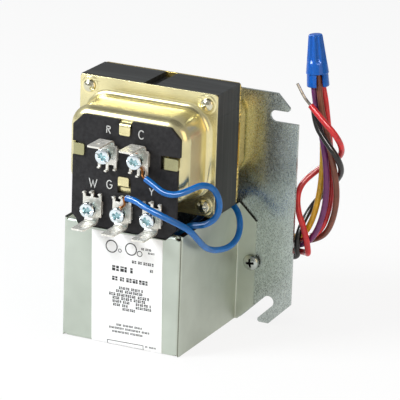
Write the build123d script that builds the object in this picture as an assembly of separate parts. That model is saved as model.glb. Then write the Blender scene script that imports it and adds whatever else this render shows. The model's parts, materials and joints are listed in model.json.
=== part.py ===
from build123d import *
from math import radians, sqrt, tan
import os

# Fan center: a low-voltage transformer and a fan relay on a junction-box cover plate.
# Millimetres. X runs right, Y runs back, Z runs up. The terminal board faces the front, at -Y.
# The origin lies on the mounting plate's back face, midway across the core and the cover.

# Mounting plate, which covers a 4 in square junction box
plate_width = 107.9
plate_offset_x = 1.4
plate_height = 108.0
plate_thickness = 1.5
plate_corner_cut = 10.4
box_screw_half_span_x = 43.1
box_screw_half_span_z = 43.6
slot_width = 5.3
slot_tip_round = 1.2
slot_lead_round = 5.0

# Relay cover, one folded sheet
cover_width = 57.5
cover_depth = 59.8
cover_height = 55.2
cover_sheet = 1.0
cover_bend = 1.6
cover_flange = 8.75
cover_flange_drop = 7.6
cover_lip_drop = 0.2
cover_lip_depth = 2.6
left_lip_width = 9.0
left_lip_depth = 8.5
corner_relief = 1.1
lip_relief = 1.7
flange_slot_margin = 0.4

# Screws that hold the cover's flanges to the plate
cover_screw_edge = 1.5
cover_screw_z = -25.9
cover_screw_radius = 2.0
cover_screw_length = 6.5
cover_screw_head_radius = 3.65
cover_screw_head_height = 2.4
cover_screw_head_round = 1.3

# White label on the cover's front
label_width = 34.5
label_height = 50.4
label_thickness = 0.15
label_offset_x = 3.0
label_bottom_gap = 1.8
label_turn = 1.2

# Transformer core: E and I steel laminations with a 7/8 in tongue
tongue = 22.2
core_width = 66.7
core_height = 55.6
core_limb = 11.1
stack_depth = 22.2
core_gap = 3.7
groove_width = 5.7
groove_depth = 2.4

# End bells, drawn sheet covers on both faces of the core
bell_sheet = 0.9
front_bell_depth = 20.6
rear_bell_depth = 14.8
dome_margin_x = 4.05
dome_margin_z = 7.6
dome_corner = 10.5
dome_draft = 2.0
dome_front_round = 4.6
dome_base_round = 2.6
bell_window_width = 34.6
bell_window_height = 19.0
bell_window_corner = 2.0
rivet_edge_x = 4.75
rivet_edge_z = 4.7
rivet_radius = 2.0
rivet_head_radius = 2.9
rivet_head_height = 1.9
rivet_head_round = 1.6
rivet_pad_radius = 4.1
rivet_pad_height = 0.25
rivet_fit = 0.1

# Bent tabs of the front bell that hold the terminal board
tab_width = 5.2
tab_bend = 1.6
left_tab_reach = 6.05
top_tab_drop = 4.9
top_tab_reach = 5.2
side_tab_rise = 0.7
right_tab_x = 18.3
right_tab_reach = 7.7
right_notch_gap = 0.9
middle_tab_drop = 13.4
middle_tab_reach = 4.7
middle_window_drop = 3.1
tab_fit = 0.5
tab_tip_round = 0.8

# Coil on the core's middle limb
coil_fit = 0.2
bobbin_wall = 1.0
bobbin_flange = 1.2
primary_build = 4.2
secondary_build = 3.4
wrap_build = 0.5
layer_gap = 0.05
winding_corner = 2.5

# Terminal board
board_width = 50.9
board_top_drop = 3.6
board_thickness = 1.6
board_top_cut = 5.0
board_bottom_cut = 4.5
board_step = 1.0
board_tuck = 1.9
board_fit = 0.3

# Terminals, each with a screw, a push-on tab and wire guards
upper_terminal_x = 7.6
upper_terminal_drop = 15.7
lower_terminal_pitch = 14.5
lower_terminal_rise = 9.0
terminal_width = 9.0
terminal_sheet = 0.8
terminal_standoff = 1.0
terminal_tab_end = 6.9
terminal_guard_end = 4.7
push_tab_width = 6.35
push_tab_reach = 13.5
push_tab_tip = 0.5
push_tab_bend = 2.0
push_tab_hole = 0.8
push_tab_hole_back = 4.6
guard_length = 2.2
guard_rise = 0.9
guard_width = 1.3
guard_middle_length = 3.0
terminal_leg = 6.0
terminal_screw_radius = 1.7
terminal_screw_head_radius = 3.45
terminal_screw_head_height = 2.2
terminal_screw_head_round = 0.6
terminal_screw_backed_out = 3.3
terminal_screw_length = 9.6
terminal_hole_fit = 0.6
thread_fit = 0.05

# Recesses in the screw heads
cross_length = 3.8
cross_width = 0.9
recess_depth = 1.1
head_slot_width = 1.0

# Bush where the leads pass through the plate
bush_side_gap = 10.25
bush_z = -19.3
bush_wall = 1.2
bush_lip = 1.6
bush_flange = 1.6
bush_tail = 1.6
bush_fit = 0.1

# Fan relay on the plate, inside the cover
relay_side_gap = 1.75
relay_axis_drop = 30.2
yoke_sheet = 2.0
yoke_width = 18.0
yoke_foot_width = 32.0
yoke_foot_height = 26.0
yoke_reach = 36.0
pole_radius = 4.0
pole_neck_radius = 3.0
pole_face_radius = 7.0
pole_face = 1.5
pole_gap = 1.6
magnet_bore_fit = 0.1
magnet_wall = 1.0
magnet_flange_radius = 10.0
magnet_flange = 1.2
magnet_winding_radius = 9.2
armature_sheet = 2.0
armature_height = 21.0
armature_gap = 0.1
armature_arm_width = 8.0
armature_arm = 2.5
spring_sheet = 0.4
spring_width = 6.0
spring_length = 14.0
spring_gap = 0.15
insulator_width = 10.0
insulator_height = 6.0
insulator_depth = 1.4
blade_sheet = 0.5
blade_width = 6.0
blade_length = 14.0
contact_radius = 2.0
contact_thickness = 1.25
contact_rise = 2.6
contact_gap = 0.1
contact_travel = 2.05
fixed_contact_height = 5.0
fixed_contact_sheet = 0.8
fixed_contact_foot = 2.0
block_width = 20.0
block_height = 3.0
block_floor_gap = 0.4
block_foot_height = 10.0
block_margin = 2.0
relay_screw_radius = 1.7
relay_screw_head_radius = 2.9
relay_screw_head_height = 1.9
relay_screw_head_round = 0.8
relay_screw_tail = 1.5
relay_screw_side = 13.2

# Wires
jumper_diameter = 2.85
lead_diameter = 2.75
conductor_diameter = 1.0
bare_end_diameter = 1.3
lead_pitch_x = 3.0
lead_pitch_z = 3.1
lead_bush_fit = 0.25
lead_inside = 8.5
conductor_loop = 2.4

# Twist-on connector
nut_x = 60.65
nut_y = 6.5
nut_z = 58.1
nut_lean = -6.0
nut_turn = 35.0
nut_skirt = 5.8
nut_skirt_slot = 3.4
nut_collar = 5.4
nut_cone = 17.4
nut_skirt_radius = 4.75
nut_skirt_flare = 0.25
nut_cone_radius = 5.1
nut_top_radius = 3.1
nut_bore_radius = 3.6
nut_bore_depth = 9.0
nut_top_round = 0.8
nut_flutes = 8
nut_flute_radius = 0.85
nut_flute_depth = 0.6
nut_lead_ring = 2.05
nut_lead_depth = 6.0

# Planes and heights worked out from the sizes
plate_front = -plate_thickness
plate_bottom = -plate_height / 2
cover_front = plate_front - cover_depth
cover_bottom = plate_bottom
cover_top = cover_bottom + cover_height
cover_inner_x = cover_width / 2 - cover_sheet
cover_screw_x = cover_width / 2 + cover_flange - cover_screw_edge
bush_x = cover_inner_x - bush_side_gap
relay_x = relay_side_gap + yoke_foot_width / 2 - cover_inner_x
lip_top = cover_top - cover_lip_drop
core_back = plate_front - rear_bell_depth
core_front = core_back - stack_depth
core_bottom = cover_top + core_gap
core_top = core_bottom + core_height
core_middle_z = core_bottom + core_height / 2
core_middle_y = core_front + stack_depth / 2
dome_width = core_width - 2 * dome_margin_x
dome_height = core_height - 2 * dome_margin_z
rivet_half_span_x = core_width / 2 - rivet_edge_x
rivet_half_span_z = core_height / 2 - rivet_edge_z
window_width = (core_width - tongue) / 2 - core_limb
window_height = core_height - 2 * core_limb
bell_front = core_front - front_bell_depth
board_back = bell_front
board_front = board_back - board_thickness
board_bottom = lip_top - board_tuck
board_top = core_middle_z + dome_height / 2 - board_top_drop
board_height = board_top - board_bottom
slot_radius = slot_width / 2
bush_bore = sqrt((lead_pitch_x / 2) ** 2 + lead_pitch_z ** 2) + lead_diameter / 2 + lead_bush_fit
upper_terminal_z = board_top - upper_terminal_drop
lower_terminal_z = board_bottom + lower_terminal_rise
relay_axis_z = cover_top - relay_axis_drop
yoke_top_z = relay_axis_z + magnet_flange_radius + 1.0 + yoke_sheet
yoke_front = plate_front - yoke_reach
pole_front = yoke_front - armature_gap + pole_gap
armature_back = yoke_front - armature_gap
armature_front = armature_back - armature_sheet
hinge_z = yoke_top_z - yoke_sheet
armature_bottom = hinge_z - armature_height
insulator_front = armature_front - insulator_depth
block_bottom = cover_bottom + cover_sheet + block_floor_gap
block_top = block_bottom + block_height
contact_z = block_top + contact_rise


def slab(outline, y_front, y_back):
    """A flat piece with an outline in X and Z, between two depths."""
    return extrude(Plane.XZ.offset(-y_back) * outline, y_back - y_front, dir=(0, -1, 0))


def block(x_span, y_span, z_span):
    """A box between pairs of limits."""
    spans = (x_span, y_span, z_span)
    sizes = [high - low for low, high in spans]
    middle = [(high + low) / 2 for low, high in spans]
    return Pos(*middle) * Box(*sizes)


def rod(x, z, y_front, y_back, radius):
    """A round bar along Y."""
    return slab(Pos(x, z) * Circle(radius), y_front, y_back)


def facing_front(x, y, z):
    """A plane whose own X, Y and Z run along X, Z and -Y, at a point."""
    return Plane((x, y, z), x_dir=(1, 0, 0), z_dir=(0, -1, 0))


def facing_back(x, y, z):
    """A plane whose own X, Y and Z run along -X, Z and Y, at a point."""
    return Plane((x, y, z), x_dir=(-1, 0, 0), z_dir=(0, 1, 0))


def domed_disc(radius, height, rounding):
    """A disc on Z = 0 with its upper edge rounded."""
    disc = Pos(0, 0, height / 2) * Cylinder(radius, height)
    return fillet(disc.edges().group_by(Axis.Z)[-1], rounding)


def screw(head_radius, head_height, head_round, radius, length, slotted):
    """A screw seated on Z = 0, with its head above and its shank below."""
    head = domed_disc(head_radius, head_height, head_round)
    recess_z = head_height - recess_depth / 2
    for length_x, length_y in ((cross_length, cross_width), (cross_width, cross_length)):
        head -= Pos(0, 0, recess_z) * Box(length_x, length_y, recess_depth)
    if slotted:
        head -= Pos(0, 0, recess_z) * Rot(0, 0, 45) * Box(head_slot_width, 3 * head_radius, recess_depth)
    return head + Pos(0, 0, -length / 2) * Cylinder(radius, length)


def tube(points, diameter, name):
    """A round wire along straight runs with the largest tangent arc that each pair of runs allows."""
    route = [Vector(*point) for point in points]
    runs = [after - before for before, after in zip(route, route[1:])]
    radii = []
    for before, after in zip(runs, runs[1:]):
        half_turn = radians(before.get_angle(after)) / 2
        radii.append(0.45 * min(before.length, after.length) / tan(half_turn))
    path = FilletPolyline(*route, radius=radii)
    wire = sweep(Plane(route[0], z_dir=runs[0]) * Circle(diameter / 2), path=path)
    print(name, "length", round(path.length, 1), "smallest bend radius", round(min(radii), 1))
    return wire


def open_slot(direction):
    """A round-ended slot that runs out of the plate in one direction."""
    reach = plate_width
    return Rot(0, 0, direction) * (Circle(slot_radius) + Pos(reach / 2, 0) * Rectangle(reach, slot_width))


def mounting_plate():
    """Flat cover plate, set a little to the right; a half turn about its middle brings it onto itself."""
    half_width, half_height = plate_width / 2, plate_height / 2
    outline = chamfer(Rectangle(plate_width, plate_height).vertices(), plate_corner_cut)
    slots = Pos(box_screw_half_span_x, box_screw_half_span_z) * open_slot(0)
    slots += Pos(box_screw_half_span_x, -box_screw_half_span_z) * open_slot(225)
    slot_side = slot_radius * sqrt(2)
    diagonal_foot = box_screw_half_span_x + box_screw_half_span_z - half_height
    upper_lip = box_screw_half_span_z + slot_radius
    lip_x = min(half_width, half_width + half_height - plate_corner_cut - upper_lip)
    foot_x = diagonal_foot + slot_side
    wedge = tan(radians(45) / 2) * 0.9
    corners = [
        ((diagonal_foot - slot_side, -half_height), slot_lead_round),
        ((foot_x, -half_height), min(slot_tip_round, wedge * (half_width - plate_corner_cut - foot_x))),
        ((lip_x, upper_lip), min(slot_tip_round, wedge * (lip_x - box_screw_half_span_x))),
    ]
    for turn in (0, 180):
        outline -= Rot(0, 0, turn) * slots
    for side in (1, -1):
        for (x, z), rounding in corners:
            nearest = outline.vertices().sort_by_distance((side * x, side * z))[0]
            outline = fillet(nearest, rounding)
    outline = Pos(plate_offset_x, 0) * outline
    outline -= Pos(bush_x, bush_z) * Circle(bush_bore + bush_wall + bush_fit)
    for side in (-1, 1):
        outline -= Pos(side * cover_screw_x, cover_screw_z) * Circle(cover_screw_radius + thread_fit)
    for x, z in relay_screw_places():
        outline -= Pos(x, z) * Circle(relay_screw_radius + thread_fit)
    return slab(outline, plate_front, 0)


def cover_front_strip(low_x, high_x, lip_depth):
    """Floor and front panel between two places in X, folded back at the top into a lip."""
    front_y = cover_front + cover_sheet / 2
    floor_z = cover_bottom + cover_sheet / 2
    lip_z = lip_top - cover_sheet / 2
    section = FilletPolyline(
        (plate_front, floor_z), (front_y, floor_z), (front_y, lip_z),
        (front_y + lip_depth, lip_z), radius=cover_bend - cover_sheet / 2)
    return extrude(Plane.YZ.offset(low_x) * trace(section, cover_sheet), high_x - low_x, dir=(1, 0, 0))


def relay_cover():
    """Folded box: sides and flanges in one strip, front, floor and lip in another, notched for the board."""
    side_x = cover_width / 2 - cover_sheet / 2
    flange_x = cover_width / 2 + cover_flange
    front_y = cover_front + cover_sheet / 2
    flange_y = plate_front - cover_sheet / 2
    plan = FilletPolyline(
        (-flange_x, flange_y), (-side_x, flange_y), (-side_x, front_y),
        (side_x, front_y), (side_x, flange_y), (flange_x, flange_y), radius=cover_bend - cover_sheet / 2)
    strip = Pos(0, 0, cover_bottom) * extrude(trace(plan, cover_sheet), cover_height)
    panel_half = cover_width / 2 - cover_bend
    front_band = (cover_front - cover_bend, cover_front + cover_bend)
    strip -= block((-panel_half, panel_half), front_band, (cover_bottom - cover_bend, cover_top + cover_bend))
    left_end = left_lip_width - panel_half
    cover = strip + cover_front_strip(-panel_half, left_end, left_lip_depth)
    cover += cover_front_strip(left_end, panel_half, cover_lip_depth)

    board_room = offset(board_blank(), board_fit)
    cover -= slab(board_room, cover_front - cover_sheet, front_y + cover_lip_depth + board_fit)
    cover -= rod(panel_half, lip_top, *front_band, lip_relief)
    hole = cover_screw_radius + terminal_hole_fit
    flange_band = (plate_front - 2 * cover_sheet, plate_front)
    for side in (-1, 1):
        cover -= rod(side * panel_half, cover_bottom, *front_band, corner_relief)
        cover -= rod(side * cover_screw_x, cover_screw_z, *flange_band, hole)
        mouth = sorted((side * cover_screw_x, side * (flange_x + cover_sheet)))
        cover -= block(mouth, flange_band, (cover_screw_z - hole, cover_screw_z + hole))
        cover -= slab(flange_corner_cuts(side, flange_x), plate_front - cover_sheet, plate_front)
    return cover


def flange_corner_cuts(side, flange_x):
    """The slanted cuts at a flange's two ends; the lower one follows the plate's slanted slot."""
    inner_x = cover_width / 2 + cover_bend - cover_sheet
    slot_x = plate_offset_x + box_screw_half_span_x
    slot_line = slot_x + box_screw_half_span_z - slot_radius * sqrt(2) - flange_slot_margin
    top_corner = (flange_x, cover_top)
    low_corner = (flange_x, cover_bottom)
    cuts = Polygon((inner_x, cover_top), top_corner, (flange_x, cover_top - cover_flange_drop), align=None)
    low_inner = (slot_line + cover_bottom, cover_bottom)
    cuts += Polygon(low_corner, (flange_x, flange_x - slot_line), low_inner, align=None)
    return cuts if side > 0 else mirror(cuts, about=Plane.YZ)


def cover_screws():
    """The two flange screws."""
    made = screw(cover_screw_head_radius, cover_screw_head_height, cover_screw_head_round,
                 cover_screw_radius, cover_screw_length, False)
    seat = plate_front - cover_sheet
    return Part() + [facing_front(side * cover_screw_x, seat, cover_screw_z) * made for side in (-1, 1)]


def front_label():
    """Paper label on the cover's front panel, stuck on a little askew."""
    z = cover_bottom + label_bottom_gap + label_height / 2
    outline = Pos(label_offset_x, z) * Rot(0, 0, label_turn) * Rectangle(label_width, label_height)
    return slab(outline, cover_front - label_thickness, cover_front)


def rivet_places():
    """Middles of the four rivets in X and Z."""
    return [(side * rivet_half_span_x, core_middle_z + level * rivet_half_span_z)
            for side in (-1, 1) for level in (-1, 1)]


def core_e_stack():
    """E laminations: back at the bottom, three limbs up to the I laminations."""
    height = core_height - core_limb
    outline = Pos(0, core_bottom + height / 2) * Rectangle(core_width, height)
    for side in (-1, 1):
        x = side * (tongue + window_width) / 2
        outline -= Pos(x, core_middle_z) * Rectangle(window_width, window_height)
    return slab(outline, core_front, core_back) - rivet_holes()


def core_i_stack():
    """I laminations across the top, with the groove that runs front to back."""
    outline = Pos(0, core_top - core_limb / 2) * Rectangle(core_width, core_limb)
    outline -= Pos(0, core_top - groove_depth / 2) * Rectangle(groove_width, groove_depth)
    return slab(outline, core_front, core_back) - rivet_holes()


def rivet_holes():
    """Holes through the stack and both bells' flanges."""
    radius = rivet_radius + rivet_fit
    return Part() + [rod(x, z, core_front - 2, core_back + 2, radius) for x, z in rivet_places()]


def core_rivets():
    """Four rivets with a domed head at each end."""
    head = domed_disc(rivet_head_radius, rivet_head_height, rivet_head_round)
    front = core_front - bell_sheet - rivet_pad_height
    back = core_back + bell_sheet
    made = []
    for x, z in rivet_places():
        shank = rod(x, z, front, back, rivet_radius)
        made.append(shank + facing_front(x, front, z) * head + facing_back(x, back, z) * head)
    return Part() + made


def bell(depth):
    """A drawn cover seated on Z = 0: flange, domed wall and flat end, open underneath."""
    flange = extrude(RectangleRounded(core_width, core_height, dome_base_round / 2), bell_sheet)
    outer = extrude(RectangleRounded(dome_width, dome_height, dome_corner), depth, taper=dome_draft)
    outer = fillet(outer.faces().sort_by(Axis.Z)[-1].edges(), dome_front_round)
    inner_width, inner_height = dome_width - 2 * bell_sheet, dome_height - 2 * bell_sheet
    hollow_plan = RectangleRounded(inner_width, inner_height, dome_corner - bell_sheet)
    hollow = extrude(hollow_plan, depth - bell_sheet, taper=dome_draft)
    hollow = fillet(hollow.faces().sort_by(Axis.Z)[-1].edges(), dome_front_round - bell_sheet)
    shell = flange + outer
    foot = [edge for edge in shell.edges() if abs(edge.center().Z - bell_sheet) < 1e-4 and
            max(abs(edge.center().X) / core_width, abs(edge.center().Y) / core_height) < 0.49]
    return fillet(foot, dome_base_round) - hollow


def tab(width, points):
    """A strip of bell sheet bent through points in Y and Z, as wide in X as stated."""
    line = FilletPolyline(*points, radius=tab_bend)
    strip = extrude(Plane.YZ.offset(-width / 2) * trace(line, bell_sheet), width, dir=(1, 0, 0))
    tip_z = points[-1][1]
    tip = [edge for edge in strip.edges().filter_by(Axis.Y) if abs(edge.center().Z - tip_z) < bell_sheet / 2]
    return fillet(tip, tab_tip_round)


def side_tab(root_x, tip_x):
    """A strip of bell sheet that comes forward through the board and turns over its face along X."""
    place = tab_places()
    face = place["face_y"]
    line = FilletPolyline((root_x, place["root_y"]), (root_x, face), (tip_x, face), radius=tab_bend)
    strip = extrude(trace(line, bell_sheet), tab_width)
    tip = [edge for edge in strip.edges().filter_by(Axis.Y) if abs(edge.center().X - tip_x) < bell_sheet / 2]
    return Pos(0, 0, place["side_z"] - tab_width / 2) * fillet(tip, tab_tip_round)


def tab_places():
    """Heights and depths that the tabs and the board's openings share."""
    return {
        "top_z": core_middle_z + dome_height / 2 - top_tab_drop,
        "side_z": core_middle_z + side_tab_rise,
        "middle_z": core_middle_z - middle_tab_drop,
        "face_y": board_front - bell_sheet / 2,
        "root_y": bell_front + bell_sheet,
    }


def front_bell():
    """Front cover, with pads round the rivets, a window behind the board and four bent tabs."""
    body = facing_front(0, core_front, core_middle_z) * bell(front_bell_depth)
    seat = core_front - bell_sheet
    for x, z in rivet_places():
        body += rod(x, z, seat - rivet_pad_height, seat, rivet_pad_radius)
    opening = RectangleRounded(bell_window_width, bell_window_height, bell_window_corner)
    opening = Pos(0, core_middle_z + side_tab_rise) * opening
    body -= slab(opening, bell_front - bell_sheet, bell_front + 2 * bell_sheet)
    place = tab_places()
    face, root = place["face_y"], place["root_y"]
    z = place["top_z"]
    body += tab(tab_width, [(root, z), (face, z), (face, z - top_tab_reach)])
    z = place["middle_z"]
    body += tab(tab_width, [(root, z), (face, z), (face, z + middle_tab_reach)])
    left = -board_width / 2
    body += side_tab(left + bell_sheet / 2, left + left_tab_reach)
    body += side_tab(right_tab_x + bell_sheet / 2, right_tab_x + right_tab_reach)
    return body - rivet_holes()


def rear_bell():
    """Rear cover, with its flat end welded to the plate."""
    return facing_back(0, core_back, core_middle_z) * bell(rear_bell_depth) - rivet_holes()


def ring_layer(inner_build, build, height):
    """A winding layer round the middle limb, between two builds from the bobbin's bore."""
    def section(out):
        corner = max(winding_corner * out / primary_build, 0.5)
        return RectangleRounded(tongue + 2 * (coil_fit + out), stack_depth + 2 * (coil_fit + out), corner)
    layer = extrude(section(inner_build + build) - section(inner_build + layer_gap), height)
    return Pos(0, core_middle_y, core_middle_z - height / 2) * layer


def coil_bobbin():
    """Moulded bobbin: a square tube between two flanges that fill the core's windows."""
    height = window_height - 2 * coil_fit
    build = bobbin_wall + primary_build + secondary_build + wrap_build
    bore = Rectangle(tongue + 2 * coil_fit, stack_depth + 2 * coil_fit)
    wall_x = tongue + 2 * (coil_fit + bobbin_wall)
    wall_y = stack_depth + 2 * (coil_fit + bobbin_wall)
    flange_x = tongue + 2 * (coil_fit + build)
    flange_y = stack_depth + 2 * (coil_fit + build)
    body = extrude(RectangleRounded(wall_x, wall_y, bobbin_wall / 2) - bore, height)
    flange = extrude(RectangleRounded(flange_x, flange_y, winding_corner) - bore, bobbin_flange)
    body += flange + Pos(0, 0, height - bobbin_flange) * flange
    return Pos(0, core_middle_y, core_middle_z - height / 2) * body


def coil_layer(inner_build, build):
    """A layer that fills the bobbin's height between its flanges."""
    height = window_height - 2 * (coil_fit + bobbin_flange + layer_gap)
    return ring_layer(inner_build, build, height)


def board_blank():
    """Outer outline of the terminal board in X and Z, before its notches and window."""
    half = board_width / 2
    step_x = half + board_step
    step_z = tab_places()["side_z"]
    return Polygon(
        (-half + board_top_cut, board_top), (step_x - board_top_cut, board_top),
        (step_x, board_top - board_top_cut), (step_x, step_z), (half, step_z),
        (half, board_bottom + board_bottom_cut),
        (half - board_bottom_cut, board_bottom), (-half + board_bottom_cut, board_bottom),
        (-half, board_bottom + board_bottom_cut), (-half, board_top - board_top_cut), align=None)


def board_outline():
    """The board's outline with the openings that its four tabs come through."""
    place = tab_places()
    side_z = place["side_z"]
    opening = tab_width + 2 * tab_fit
    bend_room = tab_bend + tab_fit
    outline = board_blank()
    outline -= Pos(0, place["top_z"] - bend_room + board_height / 2) * Rectangle(opening, board_height)
    right_x = right_tab_x - right_notch_gap
    outline -= Pos(right_x + board_width / 2, side_z) * Rectangle(board_width, opening)
    left_x = bell_sheet / 2 + bend_room - board_width / 2
    outline -= Pos(left_x - board_width / 2, side_z) * Rectangle(board_width, opening)
    middle_height = bend_room + middle_window_drop
    middle_z = place["middle_z"] + bend_room - middle_height / 2
    outline -= Pos(0, middle_z) * Rectangle(opening, middle_height)
    return outline


def terminal_places():
    """Each terminal's X, Z and the way its push-on tab lies: up for the two upper ones."""
    return {
        "r": (-upper_terminal_x, upper_terminal_z, True),
        "c": (upper_terminal_x, upper_terminal_z, True),
        "w": (-lower_terminal_pitch, lower_terminal_z, False),
        "g": (0, lower_terminal_z, False),
        "y": (lower_terminal_pitch, lower_terminal_z, False),
    }


def terminal_board():
    """Punched fibre board in front of the bell, with its foot in the cover's notch."""
    outline = board_outline()
    for x, z, _ in terminal_places().values():
        outline -= Pos(x, z) * Circle(terminal_screw_radius + terminal_hole_fit)
    return slab(outline, board_front, board_back)


def terminal_plane(name):
    """A terminal's own frame: X across, Y from its tab to its guards, Z out of the board."""
    x, z, tab_up = terminal_places()[name]
    return Plane((x, board_front, z), x_dir=(-1 if tab_up else 1, 0, 0), z_dir=(0, -1, 0))


def terminal(name):
    """Stamped terminal: raised base on two legs, push-on tab bent out on a round, three wire guards."""
    half = terminal_width / 2
    low, high = terminal_standoff, terminal_standoff + terminal_sheet
    bend_end = push_tab_bend + terminal_sheet - terminal_tab_end
    base = block((-half, half), (bend_end, terminal_guard_end), (low, high))
    for side in (-1, 1):
        inner = half - terminal_sheet
        base += block(sorted((side * inner, side * half)), (-terminal_leg / 2, terminal_leg / 2), (0, low))
        guard = sorted((side * (half - guard_width), side * half))
        end = terminal_guard_end + guard_length
        base += block(guard, (terminal_guard_end, end), (low, high))
        base += block(guard, (end - terminal_sheet, end), (low, high + guard_rise))
    middle = (-guard_width / 2, guard_width / 2)
    end = terminal_guard_end + guard_middle_length
    base += block(middle, (terminal_guard_end, end), (low, high))
    base += block(middle, (end - terminal_sheet, end), (low, high + 2 * guard_rise))
    push_half = push_tab_width / 2
    tip_z = high + push_tab_reach
    root_z = high + push_tab_bend
    sheet_y, sheet_z = terminal_sheet / 2 - terminal_tab_end, low + terminal_sheet / 2
    bend_line = FilletPolyline((bend_end + terminal_sheet, sheet_z), (sheet_y, sheet_z), (sheet_y, root_z),
                               radius=push_tab_bend + terminal_sheet / 2)
    bend = Plane.YZ.offset(-push_half) * trace(bend_line, terminal_sheet)
    base += extrude(bend, push_tab_width, dir=(1, 0, 0))
    blade = Polygon((-push_half, root_z), (push_half, root_z), (push_half, tip_z - push_tab_tip),
                    (push_half - push_tab_tip, tip_z), (-push_half + push_tab_tip, tip_z),
                    (-push_half, tip_z - push_tab_tip), align=None)
    blade -= Pos(0, tip_z - push_tab_hole_back) * Circle(push_tab_hole)
    base += slab(blade, -terminal_tab_end, -terminal_tab_end + terminal_sheet)
    base -= Pos(0, 0, low) * Cylinder(terminal_screw_radius + thread_fit, 4 * terminal_sheet)
    return terminal_plane(name) * base


def terminal_screws():
    """Five screws, backed out of their terminals ready for wires."""
    made = screw(terminal_screw_head_radius, terminal_screw_head_height, terminal_screw_head_round,
                 terminal_screw_radius, terminal_screw_length, True)
    rise = terminal_standoff + terminal_sheet + terminal_screw_backed_out
    return Part() + [terminal_plane(name) * Pos(0, 0, rise) * made for name in terminal_places()]


def lead_bushing():
    """Insulating bush in the plate, with its flange inside the cover."""
    outer = bush_bore + bush_wall
    body = rod(bush_x, bush_z, plate_front - bush_flange, bush_tail, outer)
    body += rod(bush_x, bush_z, plate_front - bush_flange, plate_front, outer + bush_lip)
    return body - rod(bush_x, bush_z, plate_front - 2 * bush_flange, 2 * bush_tail, bush_bore)


def relay_screw_places():
    """Middles of the screws that hold the relay's yoke and its contact block."""
    foot_z = block_bottom + block_foot_height - relay_screw_head_radius - 0.5
    yoke_screws = [(relay_x + side * relay_screw_side, relay_axis_z) for side in (-1, 1)]
    return yoke_screws + [(relay_x, foot_z)]


def relay_yoke():
    """L-shaped magnet frame: a wide foot on the plate and a leg above the coil."""
    x_span = (relay_x - yoke_width / 2, relay_x + yoke_width / 2)
    foot_x = (relay_x - yoke_foot_width / 2, relay_x + yoke_foot_width / 2)
    foot_back = plate_front - yoke_sheet
    body = block(foot_x, (foot_back, plate_front), (yoke_top_z - yoke_foot_height, yoke_top_z))
    body += block(x_span, (yoke_front, plate_front), (yoke_top_z - yoke_sheet, yoke_top_z))
    body -= rod(relay_x, relay_axis_z, foot_back - 1, plate_front + 1, pole_neck_radius + thread_fit)
    for x, z in relay_screw_places()[:2]:
        body -= rod(x, z, foot_back - 1, plate_front + 1, relay_screw_radius + terminal_hole_fit)
    return body


def relay_pole():
    """Iron core of the relay coil, riveted into the yoke, with a wide pole face."""
    foot = plate_front - yoke_sheet
    body = rod(relay_x, relay_axis_z, pole_front, foot, pole_radius)
    body += rod(relay_x, relay_axis_z, foot, plate_front, pole_neck_radius)
    return body + rod(relay_x, relay_axis_z, pole_front, pole_front + pole_face, pole_face_radius)


def magnet_span():
    """Depths of the relay bobbin's two ends."""
    return pole_front + pole_face + layer_gap, plate_front - yoke_sheet - layer_gap


def relay_bobbin():
    """Moulded spool on the pole."""
    front, back = magnet_span()
    bore = pole_radius + magnet_bore_fit
    body = rod(relay_x, relay_axis_z, front, back, bore + magnet_wall)
    body += rod(relay_x, relay_axis_z, front, front + magnet_flange, magnet_flange_radius)
    body += rod(relay_x, relay_axis_z, back - magnet_flange, back, magnet_flange_radius)
    return body - rod(relay_x, relay_axis_z, front - 1, back + 1, bore)


def relay_winding():
    """Wire wound between the spool's flanges."""
    front, back = magnet_span()
    inner = pole_radius + magnet_bore_fit + magnet_wall + layer_gap
    span = (front + magnet_flange + layer_gap, back - magnet_flange - layer_gap)
    ring = Circle(magnet_winding_radius) - Circle(inner)
    return slab(Pos(relay_x, relay_axis_z) * ring, *span)


def relay_armature():
    """Swinging iron plate that hangs on the yoke's front edge, with an arm for the blade."""
    x_span = (relay_x - yoke_width / 2, relay_x + yoke_width / 2)
    arm_x = (relay_x - armature_arm_width / 2, relay_x + armature_arm_width / 2)
    y_span = (armature_front, armature_back)
    top = yoke_top_z - layer_gap
    body = block(x_span, y_span, (armature_bottom, top))
    return body + block(arm_x, y_span, (armature_bottom - armature_arm, armature_bottom))


def armature_spring():
    """Leaf on the yoke, bent down in front of the armature's upper edge."""
    x_span = (relay_x - spring_width / 2, relay_x + spring_width / 2)
    nose = armature_front - spring_gap - spring_sheet
    body = block(x_span, (nose, yoke_front + spring_length), (yoke_top_z, yoke_top_z + spring_sheet))
    return body + block(x_span, (nose, nose + spring_sheet), (hinge_z + layer_gap, yoke_top_z))


def blade_insulator():
    """Fibre pad between the armature's arm and the blade."""
    z_top = armature_bottom + insulator_height / 2
    outline = Pos(relay_x, z_top - insulator_height / 2) * Rectangle(insulator_width, insulator_height)
    return slab(outline, insulator_front, armature_front)


def blade_top():
    """Upper end of the moving blade."""
    return armature_bottom + insulator_height / 2 - 0.5


def moving_blade():
    """Contact blade that hangs from the insulating pad."""
    top = blade_top()
    low = min(contact_z - contact_radius - 0.3, top - blade_length)
    x_span = (relay_x - blade_width / 2, relay_x + blade_width / 2)
    body = block(x_span, (insulator_front - blade_sheet, insulator_front), (max(low, block_top + 0.2), top))
    hole_radius = contact_radius / 2 + thread_fit
    return body - rod(relay_x, contact_z, insulator_front - 2 * blade_sheet, insulator_front, hole_radius)


def moving_contact():
    """Double-faced contact rivet through the blade."""
    front = insulator_front - blade_sheet
    body = rod(relay_x, contact_z, front - contact_thickness, front, contact_radius)
    body += rod(relay_x, contact_z, insulator_front, insulator_front + contact_thickness, contact_radius)
    return body + rod(relay_x, contact_z, front, insulator_front, contact_radius / 2)


def fixed_contact_face(behind):
    """Depth of the face that the moving contact meets in front, or behind at full travel."""
    if behind:
        return insulator_front + contact_thickness + contact_travel + contact_gap
    return insulator_front - blade_sheet - contact_thickness - contact_gap


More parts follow.
